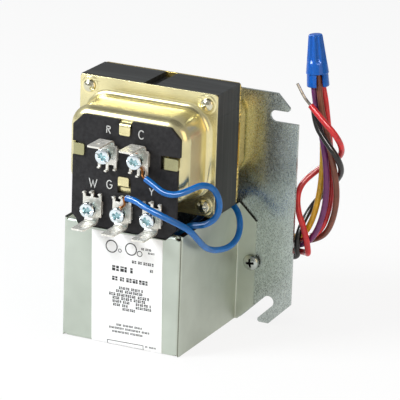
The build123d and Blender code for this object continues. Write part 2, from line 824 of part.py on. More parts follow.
def fixed_contact_strip(behind):
    """Depths of a fixed contact's strip, which lies a button's thickness from its face."""
    way = 1 if behind else -1
    near = fixed_contact_face(behind) + way * contact_thickness
    return sorted((near, near + way * fixed_contact_sheet))


def fixed_contact(behind):
    """Upright strip in the contact block, with a contact button facing the blade."""
    face = fixed_contact_face(behind)
    button = sorted((face, face + (contact_thickness if behind else -contact_thickness)))
    x_span = (relay_x - blade_width / 2, relay_x + blade_width / 2)
    strip_z = (block_top - fixed_contact_foot, block_top + fixed_contact_height)
    body = block(x_span, fixed_contact_strip(behind), strip_z)
    return body + rod(relay_x, contact_z, *button, contact_radius)


def contact_block():
    """Insulating block on the plate that carries the two fixed contacts."""
    front = fixed_contact_face(False) - contact_thickness - fixed_contact_sheet - block_margin
    x_span = (relay_x - block_width / 2, relay_x + block_width / 2)
    body = block(x_span, (front, plate_front), (block_bottom, block_top))
    foot_top = block_bottom + block_foot_height
    body += block(x_span, (plate_front - block_height, plate_front), (block_bottom, foot_top))
    slot_half = blade_width / 2 + layer_gap
    for behind in (False, True):
        low, high = fixed_contact_strip(behind)
        slot_y = (low - layer_gap, high + layer_gap)
        slot_z = (block_top - fixed_contact_foot, block_top + block_height)
        body -= block((relay_x - slot_half, relay_x + slot_half), slot_y, slot_z)
    x, z = relay_screw_places()[2]
    hole_radius = relay_screw_radius + terminal_hole_fit
    return body - rod(x, z, plate_front - 2 * block_height, plate_front + block_height, hole_radius)


def relay_screws():
    """Two screws through the yoke's foot and one through the contact block, into the plate."""
    made = []
    for (x, z), grip in zip(relay_screw_places(), (yoke_sheet, yoke_sheet, block_height)):
        length = grip + plate_thickness + relay_screw_tail
        one = screw(relay_screw_head_radius, relay_screw_head_height, relay_screw_head_round,
                    relay_screw_radius, length, False)
        made.append(facing_front(x, plate_front - grip, z) * one)
    return Part() + made


def nut_plane():
    """The connector's own frame, with Z up its leaning axis."""
    return Plane((nut_x, nut_y, nut_z)) * Rot(0, nut_lean, 0) * Rot(0, 0, nut_turn)


def wire_nut():
    """Fluted twist-on cap with a plain skirt."""
    height = nut_skirt + nut_cone
    profile = Polyline(
        (0, 0), (nut_skirt_radius + nut_skirt_flare, 0), (nut_skirt_radius, nut_skirt), (nut_cone_radius, nut_skirt),
        (nut_top_radius, height), (0, height), (0, 0))
    body = revolve(Plane.XZ * make_face(profile), Axis.Z)
    body = fillet(body.edges().group_by(Axis.Z)[-1], nut_top_round)
    slope = (nut_top_radius - nut_cone_radius) / nut_cone
    flute_x = nut_cone_radius + slope * nut_collar + nut_flute_radius - nut_flute_depth
    start = Plane((flute_x, 0, nut_skirt + nut_collar), z_dir=(slope, 0, 1))
    cut = start * (Pos(0, 0, nut_cone / 2) * Cylinder(nut_flute_radius, nut_cone) + Sphere(nut_flute_radius))
    for index in range(nut_flutes):
        body -= Rot(0, 0, 360 * (index + 0.5) / nut_flutes) * cut
    bore = Pos(0, 0, nut_bore_depth / 2) * Cylinder(nut_bore_radius, nut_bore_depth)
    slot_x = (-nut_skirt_slot / 2, nut_skirt_slot / 2)
    slot = block(slot_x, (-2 * nut_skirt_radius, 0), (-nut_skirt, nut_skirt))
    return nut_plane() * (body - bore - slot)


def nut_point(side_x, side_y, depth):
    """A point in the connector's mouth, by its place across the axis and its depth along it."""
    spot = nut_plane() * Pos(side_x * nut_lead_ring, side_y * nut_lead_ring, depth)
    return tuple(spot.position)


def lead_entry(column, row, y):
    """A point on a lead's straight way through the bush, by its place in the bundle."""
    return bush_x + column * lead_pitch_x / 2, y, bush_z + row * lead_pitch_z


def by_terminal(name, side, rise, ahead):
    """A point beside a terminal's screw, ahead of the board's face."""
    x, z, _ = terminal_places()[name]
    return x + side, board_front - ahead, z + rise


def in_line(before, after, distance):
    """The point a distance beyond the second of two points, in line with both."""
    end = Vector(*after)
    return tuple(end + (end - Vector(*before)).normalized() * distance)


# Wire routes, from the object outwards
yellow_route = [
    lead_entry(1, 1, plate_front - lead_inside), lead_entry(1, 1, 7.0),
    (34.0, 7.6, -14.8), (48.0, 7.6, -15.2), (56.6, 8.0, -12.6),
    (60.8, 7.6, -4.0), (63.2, 7.8, 7.5), (64.0, 8.2, 20.0), (63.2, 8.8, 33.0), (62.2, 9.0, 46.0),
    nut_point(0, 1, -2.0), nut_point(0, 1, nut_lead_depth)]
purple_route = [
    lead_entry(1, 0, plate_front - lead_inside), lead_entry(1, 0, 7.0),
    (34.0, 7.4, -18.3), (48.0, 7.6, -18.8), (58.3, 7.4, -16.6),
    (64.0, 6.4, -8.2), (67.1, 5.6, 3.0), (67.6, 5.2, 14.0), (66.4, 5.2, 26.0), (62.9, 6.2, 39.0),
    nut_point(-1, 0, -4.0), nut_point(-1, 0, nut_lead_depth)]
red_joined_route = [
    lead_entry(-1, 1, plate_front - lead_inside), lead_entry(-1, 1, 10.0),
    (33.0, 10.5, -15.0), (48.0, 10.7, -15.6), (58.0, 10.6, -14.8),
    (64.3, 10.2, -9.0), (67.6, 9.8, 1.6), (68.6, 9.2, 14.0), (67.4, 8.4, 28.0), (65.8, 7.6, 41.0),
    nut_point(1.4, -0.2, -6.0), nut_point(1, 0, -0.5), nut_point(1, 0, nut_lead_depth)]
brown_route = [
    lead_entry(-1, 0, plate_front - lead_inside), lead_entry(-1, 0, 10.0),
    (33.0, 10.6, -18.4), (47.0, 12.0, -18.6), (57.6, 13.2, -16.6),
    (65.6, 12.2, -12.0), (70.9, 7.8, -1.0), (72.5, 6.2, 11.0), (70.0, 5.0, 25.0), (67.0, 4.2, 36.5),
    (63.6, 4.2, 49.0), nut_point(0, -1, -1.0), nut_point(0, -1, nut_lead_depth + 1.0)]
black_route = [
    lead_entry(1, -1, plate_front - lead_inside), lead_entry(1, -1, 7.0),
    (33.0, 7.6, -23.4), (46.0, 8.2, -23.6), (54.6, 7.2, -23.4),
    (55.2, 3.4, -17.0), (55.2, 4.6, -10.2), (57.2, 10.8, -1.6), (61.8, 13.4, 5.8), (69.2, 13.2, 14.0),
    (73.8, 7.4, 20.8), (73.6, 1.0, 28.6), (67.2, 1.2, 35.4), (62.2, 1.4, 42.0), (60.7, 2.4, 49.3)]
red_route = [
    lead_entry(-1, -1, plate_front - lead_inside), lead_entry(-1, -1, 10.0),
    (32.0, 11.6, -22.8), (46.0, 12.6, -22.2), (56.4, 11.6, -21.8),
    (60.8, 4.6, -20.0), (58.8, 3.5, -9.0), (54.2, 3.6, 1.4), (53.8, 6.2, 11.0), (60.4, 12.0, 18.2),
    (66.6, 12.8, 22.6), (72.0, 9.8, 27.0), (74.5, 3.6, 33.2), (72.6, -1.2, 40.0), (66.6, -1.7, 45.5),
    (60.7, -1.2, 51.0)]
red_bare_route = [red_route[-1], in_line(red_route[-2], red_route[-1], 4.5), (54.3, -1.9, 60.1)]
jumper_c_route = [
    by_terminal("c", 4.8, -7.2, 4.3), by_terminal("c", 9.2, -9.2, 4.9),
    (21.2, -65.6, 21.6), (26.4, -64.4, 21.0), (31.0, -60.2, 22.9),
    (34.8, -54.4, 24.8), (38.0, -49.2, 21.8), (39.9, -46.6, 14.4), (38.0, -46.6, 7.4), (32.6, -48.2, 3.7),
    (26.6, -49.6, 3.4), (20.6, -48.6, -1.6), (14.6, -45.0, -8.0), (8.6, -40.4, -13.4)]
jumper_g_route = [
    by_terminal("g", 3.5, 7.9, 4.1), by_terminal("g", 8.2, 8.2, 5.5),
    (14.6, -69.6, 15.2), (21.6, -69.0, 12.6), (27.8, -64.8, 8.8),
    (32.0, -59.4, 4.4), (33.2, -52.4, -2.4), (33.4, -45.0, -7.8), (35.0, -36.6, -10.6), (37.2, -28.0, -10.8),
    (37.8, -21.0, -7.6), (36.2, -17.0, -1.2), (31.6, -13.4, 3.2), (25.4, -10.6, 3.4), (19.6, -10.0, -1.0),
    (13.0, -11.0, -6.4), (7.0, -9.4, -13.0)]


def conductor_eye(name, turn_ways, lift, route):
    """Bare copper hooked round a terminal's screw, with a tail that runs straight into its insulation."""
    x, z, _ = terminal_places()[name]
    y = board_front - terminal_standoff - terminal_sheet - conductor_diameter / 2 - layer_gap
    hook = [(x + way_x * conductor_loop, y, z + way_z * conductor_loop) for way_x, way_z in turn_ways]
    tail = [by_terminal(name, *lift), in_line(route[1], route[0], 2 * conductor_diameter), route[0]]
    return tube(hook + tail, conductor_diameter, "conductor at " + name)


def leads():
    """The free wires and the two jumpers, each a plain round tube."""
    made = {
        "yellow_lead": (yellow_route, lead_diameter),
        "purple_lead": (purple_route, lead_diameter),
        "red_joined_lead": (red_joined_route, lead_diameter),
        "brown_lead": (brown_route, lead_diameter),
        "black_lead": (black_route, lead_diameter),
        "red_lead": (red_route, lead_diameter),
        "red_lead_conductor": (red_bare_route, bare_end_diameter),
        "blue_jumper_c": (jumper_c_route, jumper_diameter),
        "blue_jumper_g": (jumper_g_route, jumper_diameter),
    }
    return {name: tube(route, diameter, name) for name, (route, diameter) in made.items()}


def pieces():
    """Every piece by its name."""
    coil_start = bobbin_wall
    made = {
        "mounting_plate": mounting_plate(),
        "relay_cover": relay_cover(),
        "cover_screws": cover_screws(),
        "front_label": front_label(),
        "core_e_stack": core_e_stack(),
        "core_i_stack": core_i_stack(),
        "front_bell": front_bell(),
        "rear_bell": rear_bell(),
        "core_rivets": core_rivets(),
        "coil_bobbin": coil_bobbin(),
        "primary_winding": coil_layer(coil_start, primary_build),
        "secondary_winding": coil_layer(coil_start + primary_build, secondary_build),
        "coil_wrap": coil_layer(coil_start + primary_build + secondary_build, wrap_build),
        "terminal_board": terminal_board(),
        "terminal_screws": terminal_screws(),
        "lead_bushing": lead_bushing(),
        "relay_yoke": relay_yoke(),
        "relay_pole": relay_pole(),
        "relay_bobbin": relay_bobbin(),
        "relay_winding": relay_winding(),
        "relay_armature": relay_armature(),
        "armature_spring": armature_spring(),
        "blade_insulator": blade_insulator(),
        "moving_blade": moving_blade(),
        "moving_contact": moving_contact(),
        "closed_contact": fixed_contact(False),
        "open_contact": fixed_contact(True),
        "contact_block": contact_block(),
        "relay_screws": relay_screws(),
        "wire_nut": wire_nut(),
        "jumper_c_conductor": conductor_eye(
            "c", [(-0.35, 1.05), (-1.05, 0.35), (-0.8, -0.75), (0.25, -1.1)], (2.5, -4.3, 2.7),
            jumper_c_route),
        "jumper_g_conductor": conductor_eye(
            "g", [(-0.4, -1.05), (-1.05, -0.4), (-0.85, 0.75), (0.25, 1.1)], (1.75, 4.6, 2.4),
            jumper_g_route),
    }
    for name in terminal_places():
        made["terminal_" + name] = terminal(name)
    made.update(leads())
    return made


os.makedirs("parts", exist_ok=True)
for piece_name, piece in pieces().items():
    export_step(piece, os.path.join("parts", piece_name + ".step"))
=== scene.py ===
"""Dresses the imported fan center: wires, pressings, fasteners, connector, print, finishes and stage."""
import json
import math

import bpy
import numpy as np
from bpy.props import FloatProperty, PointerProperty, StringProperty
from mathutils import Matrix, Vector


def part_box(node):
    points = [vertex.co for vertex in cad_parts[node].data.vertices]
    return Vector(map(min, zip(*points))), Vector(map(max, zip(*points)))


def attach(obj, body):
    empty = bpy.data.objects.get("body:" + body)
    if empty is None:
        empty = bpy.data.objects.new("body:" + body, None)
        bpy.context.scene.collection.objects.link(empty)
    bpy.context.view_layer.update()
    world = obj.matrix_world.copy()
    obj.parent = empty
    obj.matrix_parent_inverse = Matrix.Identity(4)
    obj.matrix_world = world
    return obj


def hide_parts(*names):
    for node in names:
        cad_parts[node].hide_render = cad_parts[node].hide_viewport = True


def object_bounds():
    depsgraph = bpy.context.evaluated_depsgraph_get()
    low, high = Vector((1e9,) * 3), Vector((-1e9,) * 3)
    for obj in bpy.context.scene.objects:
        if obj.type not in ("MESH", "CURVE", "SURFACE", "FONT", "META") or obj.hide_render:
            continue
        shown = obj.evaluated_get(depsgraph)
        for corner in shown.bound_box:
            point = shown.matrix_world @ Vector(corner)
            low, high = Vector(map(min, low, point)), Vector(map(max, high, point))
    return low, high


bl_info = {
    "name": "Fan center dressing",
    "version": (1, 0, 0),
    "blender": (4, 5, 0),
    "location": "View3D > Sidebar > Fan center",
    "description": "Builds the visible wires, pressings, fasteners, print and finishes of a fan center",
    "category": "Object",
}

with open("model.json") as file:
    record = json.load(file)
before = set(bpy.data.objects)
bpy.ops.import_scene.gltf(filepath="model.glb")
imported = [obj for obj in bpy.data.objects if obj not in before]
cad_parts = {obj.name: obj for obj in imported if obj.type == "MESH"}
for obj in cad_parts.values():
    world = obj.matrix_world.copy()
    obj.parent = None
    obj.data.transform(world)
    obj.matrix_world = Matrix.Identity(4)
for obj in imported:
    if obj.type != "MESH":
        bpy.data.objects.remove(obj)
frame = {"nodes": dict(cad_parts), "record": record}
CAD_BOX = [list(corner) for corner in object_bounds()]
NODES = frame["nodes"]
BODY = "base"
MM = 0.001


# Small tools

def linear(hex_colour):
    """Linear RGBA of an sRGB hex colour."""
    parts = np.array([int(hex_colour[place:place + 2], 16) for place in (1, 3, 5)]) / 255
    low = parts / 12.92
    high = ((parts + 0.055) / 1.055) ** 2.4
    return (*np.where(parts <= 0.04045, low, high).tolist(), 1.0)


def add_node(tree, kind, inputs=(), **options):
    """One node with its options; inputs maps a socket to a value, or to the output or node that feeds it."""
    node = tree.nodes.new(kind)
    for name, value in options.items():
        setattr(node, name, value)
    for socket, value in dict(inputs).items():
        if isinstance(value, bpy.types.Node):
            value = next(output for output in value.outputs if output.enabled)
        if isinstance(value, bpy.types.NodeSocket):
            tree.links.new(value, node.inputs[socket])
        else:
            node.inputs[socket].default_value = value
    return node


def smoothstep(low, high, value):
    """0 below low, 1 above high, and an even S between them."""
    share = np.clip((value - low) / (high - low), 0, 1)
    return share * share * (3 - 2 * share)


def box_mm(name):
    """A node's lowest and highest corner in millimetres."""
    low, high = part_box(name)
    return np.array(low) / MM, np.array(high) / MM


def new_object(name, data):
    """A new object in the scene."""
    obj = bpy.data.objects.new(name, data)
    bpy.context.scene.collection.objects.link(obj)
    return obj


def mesh_piece(name, points, faces, material, smooth=True):
    """A mesh object from points in millimetres, riding on the fixed body."""
    mesh = bpy.data.meshes.new(name)
    mesh.from_pydata((np.asarray(points, float) * MM).tolist(), [], [list(face) for face in faces])
    mesh.polygons.foreach_set("use_smooth", np.full(len(mesh.polygons), smooth))
    mesh.update()
    mesh.materials.append(material)
    obj = new_object(name, mesh)
    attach(obj, BODY)
    return obj


def grid_faces(rows, columns, first=0, close_columns=True):
    """Quads between the rows of a grid of points; columns close on themselves when they go round."""
    steps = columns if close_columns else columns - 1
    row, column = np.meshgrid(np.arange(rows - 1), np.arange(steps), indexing="ij")
    here = row * columns
    after = (column + 1) % columns
    corners = (here + column, here + after, here + columns + after, here + columns + column)
    return (np.stack([corner.ravel() for corner in corners], axis=1) + first).tolist()


def gather(parts):
    """One list of points and one of faces from several (points, faces) pairs."""
    points, faces, count = [], [], 0
    for part_points, part_faces in parts:
        points.append(part_points)
        faces += [[corner + count for corner in face] for face in part_faces]
        count += len(part_points)
    return np.concatenate(points), faces


def bevel(obj, width, segments=2, angle=35):
    """Rounds the sharp edges of a piece by a width in millimetres."""
    edge = obj.modifiers.new("edges", "BEVEL")
    edge.width = width * MM
    edge.segments = segments
    edge.limit_method = "ANGLE"
    edge.angle_limit = math.radians(angle)
    edge.use_clamp_overlap = True
    edge.harden_normals = True


# Sizes and colours that a user would change

class WireSettings(bpy.types.PropertyGroup):
    """Wires and the connector."""
    lead_diameter: FloatProperty(
        name="Lead diameter", description="Outside of a loose lead", default=0.00275, unit="LENGTH")
    jumper_diameter: FloatProperty(
        name="Jumper diameter", description="Outside of a blue jumper", default=0.00285, unit="LENGTH")
    yellow: StringProperty(name="Yellow", description="Insulation colour", default="#e8b423")
    purple: StringProperty(name="Purple", description="Insulation colour", default="#6e2d68")
    red: StringProperty(name="Red", description="Insulation colour", default="#cc2a30")
    brown: StringProperty(name="Brown", description="Insulation colour", default="#74402f")
    black: StringProperty(name="Black", description="Insulation colour", default="#1c1b1c")
    blue: StringProperty(name="Blue", description="Jumper colour", default="#0462b0")
    connector: StringProperty(name="Connector", description="Connector shell colour", default="#105cba")


class FinishSettings(bpy.types.PropertyGroup):
    """Colours of the metal, board and label."""
    chromate: StringProperty(name="Chromate", description="Yellow chromate on the bells", default="#e6dcab")
    # Painted reflection: a deeper gold copy of the chromate for the rear bell, for the gold light that
    # bounces between the bell and the plate.
    gold: StringProperty(name="Gold", description="Deeper chromate on the rear bell", default="#f0d47c")
    # Painted reflection: a darker copy of the chromate for the side tabs, for the darker surroundings that
    # they mirror.
    side_tab_shade: StringProperty(name="Olive", description="Darker chromate on the side tabs", default="#a9a67e")
    zinc: StringProperty(name="Zinc", description="Zinc-plated cover", default="#c3cbc0")
    galvanised: StringProperty(name="Galvanised", description="Mounting plate", default="#bac3c0")
    core: StringProperty(name="Core", description="Varnished laminations", default="#2d2f2f")
    board: StringProperty(name="Board", description="Terminal board", default="#232224")
    tin: StringProperty(name="Tin", description="Terminals", default="#f5f2ea")
    screw: StringProperty(name="Screw", description="Screws", default="#e4edf2")
    label: StringProperty(name="Label", description="Label paper", default="#fafafa")
    letters: StringProperty(name="Letters", description="Board lettering", default="#d9dad8")
    ink: StringProperty(name="Ink", description="Print on the label", default="#2e2e30")


class StageSettings(bpy.types.PropertyGroup):
    """Camera and lamps."""
    azimuth: FloatProperty(
        name="Azimuth", description="Camera angle to the right of the front", default=0.436, subtype="ANGLE")
    elevation: FloatProperty(
        name="Elevation", description="Camera angle above the horizon", default=0.313, subtype="ANGLE")
    roll: FloatProperty(
        name="Roll", description="Camera turn about its axis", default=0.035, subtype="ANGLE")
    distance: FloatProperty(
        name="Distance", description="From the camera to its target", default=1.2793, unit="LENGTH")
    lens: FloatProperty(
        name="Lens", description="Focal length on a 36 mm sensor", default=264.3, unit="CAMERA")
    key_power: FloatProperty(
        name="Key lamp", description="Power of the key lamp", default=14.0, unit="POWER")
    world: FloatProperty(name="World", description="Strength of the soft light all round", default=0.42)


def settings(name):
    """One of the scene's three groups of settings."""
    return getattr(bpy.context.scene, "fan_center_" + name)


# Finishes

MATH, VECTOR_MATH = "ShaderNodeMath", "ShaderNodeVectorMath"
# Keeps X and Z and drops Y
FLAT = (1, 0, 1)


def finish(name, colour, metallic, roughness):
    """A new material: its tree, its shader and its Object coordinates, with a plain colour to start from."""
    material = bpy.data.materials.new(name)
    material.use_nodes = True
    tree = material.node_tree
    shader = tree.nodes["Principled BSDF"]
    shader.inputs["Base Color"].default_value = linear(colour)
    shader.inputs["Metallic"].default_value = metallic
    shader.inputs["Roughness"].default_value = roughness
    coordinates = add_node(tree, "ShaderNodeTexCoord")
    return material, tree, shader, coordinates.outputs["Object"]


def mottle(tree, vector, scale, detail=4.0, stretch=(1, 1, 1)):
    """Noise from 0 to 1, stretched along the axes; the scale is in spots per metre, one over their size."""
    stretched = add_node(tree, "ShaderNodeMapping", {"Vector": vector, "Scale": stretch})
    return add_node(tree, "ShaderNodeTexNoise", {
        "Vector": stretched, "Scale": scale, "Detail": detail, "Roughness": 0.55})


def set_stops(ramp, stops):
    """Gives a colour ramp its (place, hex colour) stops."""
    elements = ramp.color_ramp.elements
    while len(elements) < len(stops):
        elements.new(1.0)
    for element, (place, colour) in zip(elements, stops):
        element.position = place
        element.color = linear(colour)


def vary_colour(tree, shader, factor, stops):
    """Base colour from a ramp of (place, hex colour) stops."""
    ramp = add_node(tree, "ShaderNodeValToRGB", {"Fac": factor})
    set_stops(ramp, stops)
    tree.links.new(ramp.outputs["Color"], shader.inputs["Base Color"])
    return ramp.outputs["Color"]


def vary_roughness(tree, shader, factor, low, high):
    """Roughness between two values."""
    spread = add_node(tree, "ShaderNodeMapRange", {"Value": factor, "To Min": low, "To Max": high})
    tree.links.new(spread.outputs["Result"], shader.inputs["Roughness"])


def relief(tree, shader, height, depth_mm, strength=1.0):
    """Bump from a height of 0 to 1 that stands for a depth in millimetres."""
    bump = add_node(tree, "ShaderNodeBump", {
        "Height": height, "Distance": depth_mm * MM, "Strength": strength})
    tree.links.new(bump.outputs["Normal"], shader.inputs["Normal"])


def shade(colour, factor):
    """A hex colour made lighter or darker by a factor."""
    parts = [min(255, round(int(colour[place:place + 2], 16) * factor)) for place in (1, 3, 5)]
    return "#" + "".join(f"{part:02x}" for part in parts)


# In metres: half the rivets' spacing across and up the core, minus the core's middle, and a pad's two radii
RIVET_SPAN, CORE_SHIFT, PAD_RADII = (0.0286, 0, 0.0231), (0, 0, -0.0327), (0.0039, 0.0042)


def yellow_chromate(name, base):
    """Drawn steel with a yellow chromate dip: shiny, with cloudy gold and straw patches about 18 mm across
    and a paler ring 8 mm across round each rivet."""
    material, tree, shader, place = finish(name, base, 0.86, 0.28)
    cloud = mottle(tree, place, 55, 3)
    shifted = add_node(tree, VECTOR_MATH, {0: place, 1: CORE_SHIFT}, operation="ADD")
    folded = add_node(tree, VECTOR_MATH, {0: shifted}, operation="ABSOLUTE")
    flat = add_node(tree, VECTOR_MATH, {0: folded, 1: FLAT}, operation="MULTIPLY")
    away = add_node(tree, VECTOR_MATH, {0: flat, 1: RIVET_SPAN}, operation="DISTANCE")
    pad = add_node(tree, "ShaderNodeMapRange", {
        "Value": away, "From Min": PAD_RADII[0], "From Max": PAD_RADII[1], "To Min": 0.22, "To Max": 0.0})
    tone = add_node(tree, MATH, {0: cloud, 1: pad}, operation="ADD")
    vary_colour(tree, shader, tone, [(0.3, shade(base, 0.93)), (0.5, base), (0.7, shade(base, 1.06))])
    vary_roughness(tree, shader, mottle(tree, place, 90, 2), 0.2, 0.3)
    return material


# In millimetres: X plus Y along the middle of the cover's front right fold, and its change over half a crack
FOLD_LINE, HALF_CRACK = -32.55, 0.4
# Which way the flanges' slanted upper edges face, and where they and the top edge begin in millimetres
EDGE_WAY, EDGE_REACH, EDGE_TOP = (0.682, 0.7316), 20.72, 1.05


def zinc_sheet():
    """Rolled sheet with satin zinc plate: a soft grain 0.8 mm wide along Z, faint clouds 25 mm across,
    a dark line 0.6 mm wide where the plate has cracked along the front right fold, and painted shade, near
    black, on the upper sheared edges and the flanges' slanted upper edges."""
    base = settings("finish").zinc
    material, tree, shader, place = finish("zinc_plated_sheet", base, 0.8, 0.42)
    cloud = mottle(tree, place, 40, 3)
    sides = add_node(tree, "ShaderNodeSeparateXYZ", {"Vector": place}).outputs
    fold = add_node(tree, MATH, {0: sides["X"], 1: sides["Y"]}, operation="ADD")
    crack = add_node(tree, MATH, {0: fold, 1: FOLD_LINE * MM, 2: HALF_CRACK * MM}, operation="COMPARE")
    cracked = add_node(tree, MATH, {0: cloud, 1: crack}, operation="SUBTRACT")
    plated = vary_colour(tree, shader, cracked, [
        (0.0, "#7d8176"), (0.3, shade(base, 0.95)), (0.7, shade(base, 1.04))])
    across = add_node(tree, MATH, {0: sides["X"]}, operation="ABSOLUTE")
    rise = add_node(tree, MATH, {0: sides["Z"], 1: EDGE_WAY[1]}, operation="MULTIPLY")
    reach = add_node(tree, MATH, {0: across, 1: EDGE_WAY[0], 2: rise}, operation="MULTIPLY_ADD")
    slanted = add_node(tree, MATH, {0: reach, 1: EDGE_REACH * MM}, operation="GREATER_THAN")
    level = add_node(tree, MATH, {0: sides["Z"], 1: EDGE_TOP * MM}, operation="GREATER_THAN")
    shaded_edges = add_node(tree, MATH, {0: slanted, 1: level}, operation="MAXIMUM")
    # Painted shade: the upper sheared edges and the flanges' slanted upper edges are painted near black, as
    # a shadow along them.
    bare = add_node(tree, "ShaderNodeMix", {
        "Factor": shaded_edges, "A": plated, "B": linear("#2c2d2a")}, data_type="RGBA")
    tree.links.new(bare.outputs["Result"], shader.inputs["Base Color"])
    vary_roughness(tree, shader, mottle(tree, place, 300, 4, (1, 1, 0.08)), 0.36, 0.5)
    relief(tree, shader, mottle(tree, place, 1200, 3, (1, 1, 0.06)), 0.006, 0.4)
    return material


# Minus the middle of the part of the plate that the cover closes off, and half its sides, in metres
CLOSED_SHIFT, CLOSED_HALF = (0, 0.0015, 0.027), (0.0277, 0.0001, 0.028)


def galvanised_sheet():
    """Hot-dipped sheet: fine spangle crystals about 0.3 mm across and 0.6 mm high, each with its own grey,
    with painted shade, near black, on the part that the cover closes off."""
    base = settings("finish").galvanised
    material, tree, shader, place = finish("galvanised_sheet", base, 0.9, 0.4)
    drawn = add_node(tree, "ShaderNodeMapping", {"Vector": place, "Scale": (1, 1, 0.5)})
    spangle = add_node(tree, "ShaderNodeTexVoronoi", {"Vector": drawn, "Scale": 3200.0, "Randomness": 1.0})
    grey = add_node(tree, "ShaderNodeSeparateColor", {"Color": spangle.outputs["Color"]})
    blend = add_node(tree, MATH, {0: grey, 1: mottle(tree, place, 60, 4)}, operation="ADD")
    half = add_node(tree, MATH, {0: blend, 1: 0.5}, operation="MULTIPLY")
    spangled = vary_colour(tree, shader, half, [
        (0.25, shade(base, 0.88)), (0.5, base), (0.8, shade(base, 1.12))])
    shifted = add_node(tree, VECTOR_MATH, {0: place, 1: CLOSED_SHIFT}, operation="ADD")
    folded = add_node(tree, VECTOR_MATH, {0: shifted}, operation="ABSOLUTE")
    room = add_node(tree, VECTOR_MATH, {0: folded, 1: CLOSED_HALF}, operation="SUBTRACT")
    outside = add_node(tree, "ShaderNodeSeparateXYZ", {"Vector": room}).outputs
    edge = add_node(tree, MATH, {0: outside["X"], 1: outside["Y"]}, operation="MAXIMUM")
    edge = add_node(tree, MATH, {0: edge, 1: outside["Z"]}, operation="MAXIMUM")
    open_part = add_node(tree, MATH, {0: edge, 1: 0.0}, operation="GREATER_THAN")
    # Painted shade: inside the cover the plate is painted near black, for the shade in the closed box.
    shaded_inside = add_node(tree, "ShaderNodeMix", {
        "Factor": open_part, "A": linear("#1c1d1d"), "B": spangled}, data_type="RGBA")
    tree.links.new(shaded_inside.outputs["Result"], shader.inputs["Base Color"])
    vary_roughness(tree, shader, grey, 0.2, 0.32)
    return material


def laminations():
    """Varnished stack: sheet edges run in uneven lines across Y. Real sheets are 0.5 mm thick; the lines are
    drawn about 1.2 mm apart, so that they show in the render."""
    base = settings("finish").core
    material, tree, shader, place = finish("varnished_laminations", base, 0.0, 0.42)
    lines = mottle(tree, place, 1.0, 5, (22, 800, 22))
    shader.inputs["Specular IOR Level"].default_value = 0.3
    vary_colour(tree, shader, lines, [(0.36, shade(base, 0.76)), (0.5, base), (0.66, shade(base, 1.4))])
    vary_roughness(tree, shader, lines, 0.34, 0.5)
    relief(tree, shader, lines, 0.05, 0.5)
    return material


def fibre_board():
    """Punched vulcanised fibre: flat charcoal with a faint fleck about 1.4 mm across."""
    base = settings("finish").board
    material, tree, shader, place = finish("charcoal_fibre_board", base, 0.0, 0.55)
    shader.inputs["Specular IOR Level"].default_value = 0.3
    fleck = mottle(tree, place, 700, 5)
    vary_colour(tree, shader, fleck, [(0.35, shade(base, 0.8)), (0.65, shade(base, 1.2))])
    relief(tree, shader, fleck, 0.02, 0.4)
    return material


def bright_metal(name, base, roughness, tint, metallic=1.0):
    """Plated metal with a thin tint in clouds of 2.4 mm, uneven gloss and dents about 3 mm across."""
    material, tree, shader, place = finish(name, base, metallic, roughness)
    cloud = mottle(tree, place, 420, 3)
    vary_colour(tree, shader, cloud, [(0.35, tint), (0.6, base)])
    vary_roughness(tree, shader, mottle(tree, place, 900, 4), roughness * 0.8, roughness * 1.3)
    relief(tree, shader, mottle(tree, place, 320, 2), 0.08, 0.4)
    return material


# Rougher plating in a recess, with a colour of its own or painted shade, in millimetres: reach from its
# middle, and start and end behind the front
RECESS_REACH, RECESS_START, RECESS_END = 2.1, 0.3, 0.8


def recessed_metal(name, base, deep, front, middles):
    """Bright plated heads whose recesses are rougher and take another colour: near each head's middle the
    colour turns between two depths behind the front; on the cover screws it is near black, painted shade."""
    material, tree, shader, place = finish(name, base, 1.0, 0.12)
    depth = add_node(tree, "ShaderNodeSeparateXYZ", {"Vector": place}).outputs["Y"]
    factor = add_node(tree, "ShaderNodeMapRange", {
        "Value": depth, "From Min": (front + RECESS_START) * MM, "From Max": (front + RECESS_END) * MM})
    flat = add_node(tree, VECTOR_MATH, {0: place, 1: FLAT}, operation="MULTIPLY")
    near = 1.0
    for x, z in middles:
        away = add_node(tree, VECTOR_MATH, {0: flat, 1: (x * MM, 0, z * MM)}, operation="DISTANCE")
        near = add_node(tree, MATH, {0: away, 1: near}, operation="MINIMUM")
    inside = add_node(tree, MATH, {0: near, 1: RECESS_REACH * MM}, operation="LESS_THAN")
    sunk = add_node(tree, MATH, {0: factor, 1: inside}, operation="MULTIPLY")
    vary_colour(tree, shader, sunk, [(0.0, base), (1.0, deep)])
    vary_roughness(tree, shader, sunk, 0.12, 0.35)
    return material


def tint_shine(shader, base, level):
    """Mirrored light in a pale tone of the plastic's own colour, which keeps the colour full."""
    shader.inputs["Specular IOR Level"].default_value = level
    shader.inputs["Specular Tint"].default_value = [0.6 + 0.4 * part for part in linear(base)]


def insulation(name, base):
    """Extruded PVC: smooth, glossy, with a faintly uneven tone in patches of about 4 mm."""
    material, tree, shader, place = finish(name, base, 0.0, 0.2)
    tint_shine(shader, base, 0.8)
    tone = mottle(tree, place, 260, 3)
    vary_colour(tree, shader, tone, [(0.3, shade(base, 0.9)), (0.7, shade(base, 1.08))])
    vary_roughness(tree, shader, tone, 0.15, 0.25)
    return material


def moulding(name, base, roughness=0.45):
    """Moulded plastic with a fine grain of about 0.7 mm."""
    material, tree, shader, place = finish(name, base, 0.0, roughness)
    tint_shine(shader, base, 0.5)
    grain = mottle(tree, place, 1500, 3)
    vary_colour(tree, shader, grain, [(0.3, shade(base, 0.92)), (0.7, shade(base, 1.06))])
    relief(tree, shader, grain, 0.01, 0.3)
    return material


def paper(name, base):
    """Smooth coated paper with a barely uneven tone in patches of about 7 mm."""
    material, tree, shader, place = finish(name, base, 0.0, 0.5)
    vary_colour(tree, shader, mottle(tree, place, 150, 4), [(0.3, shade(base, 0.985)), (0.7, base)])
    return material


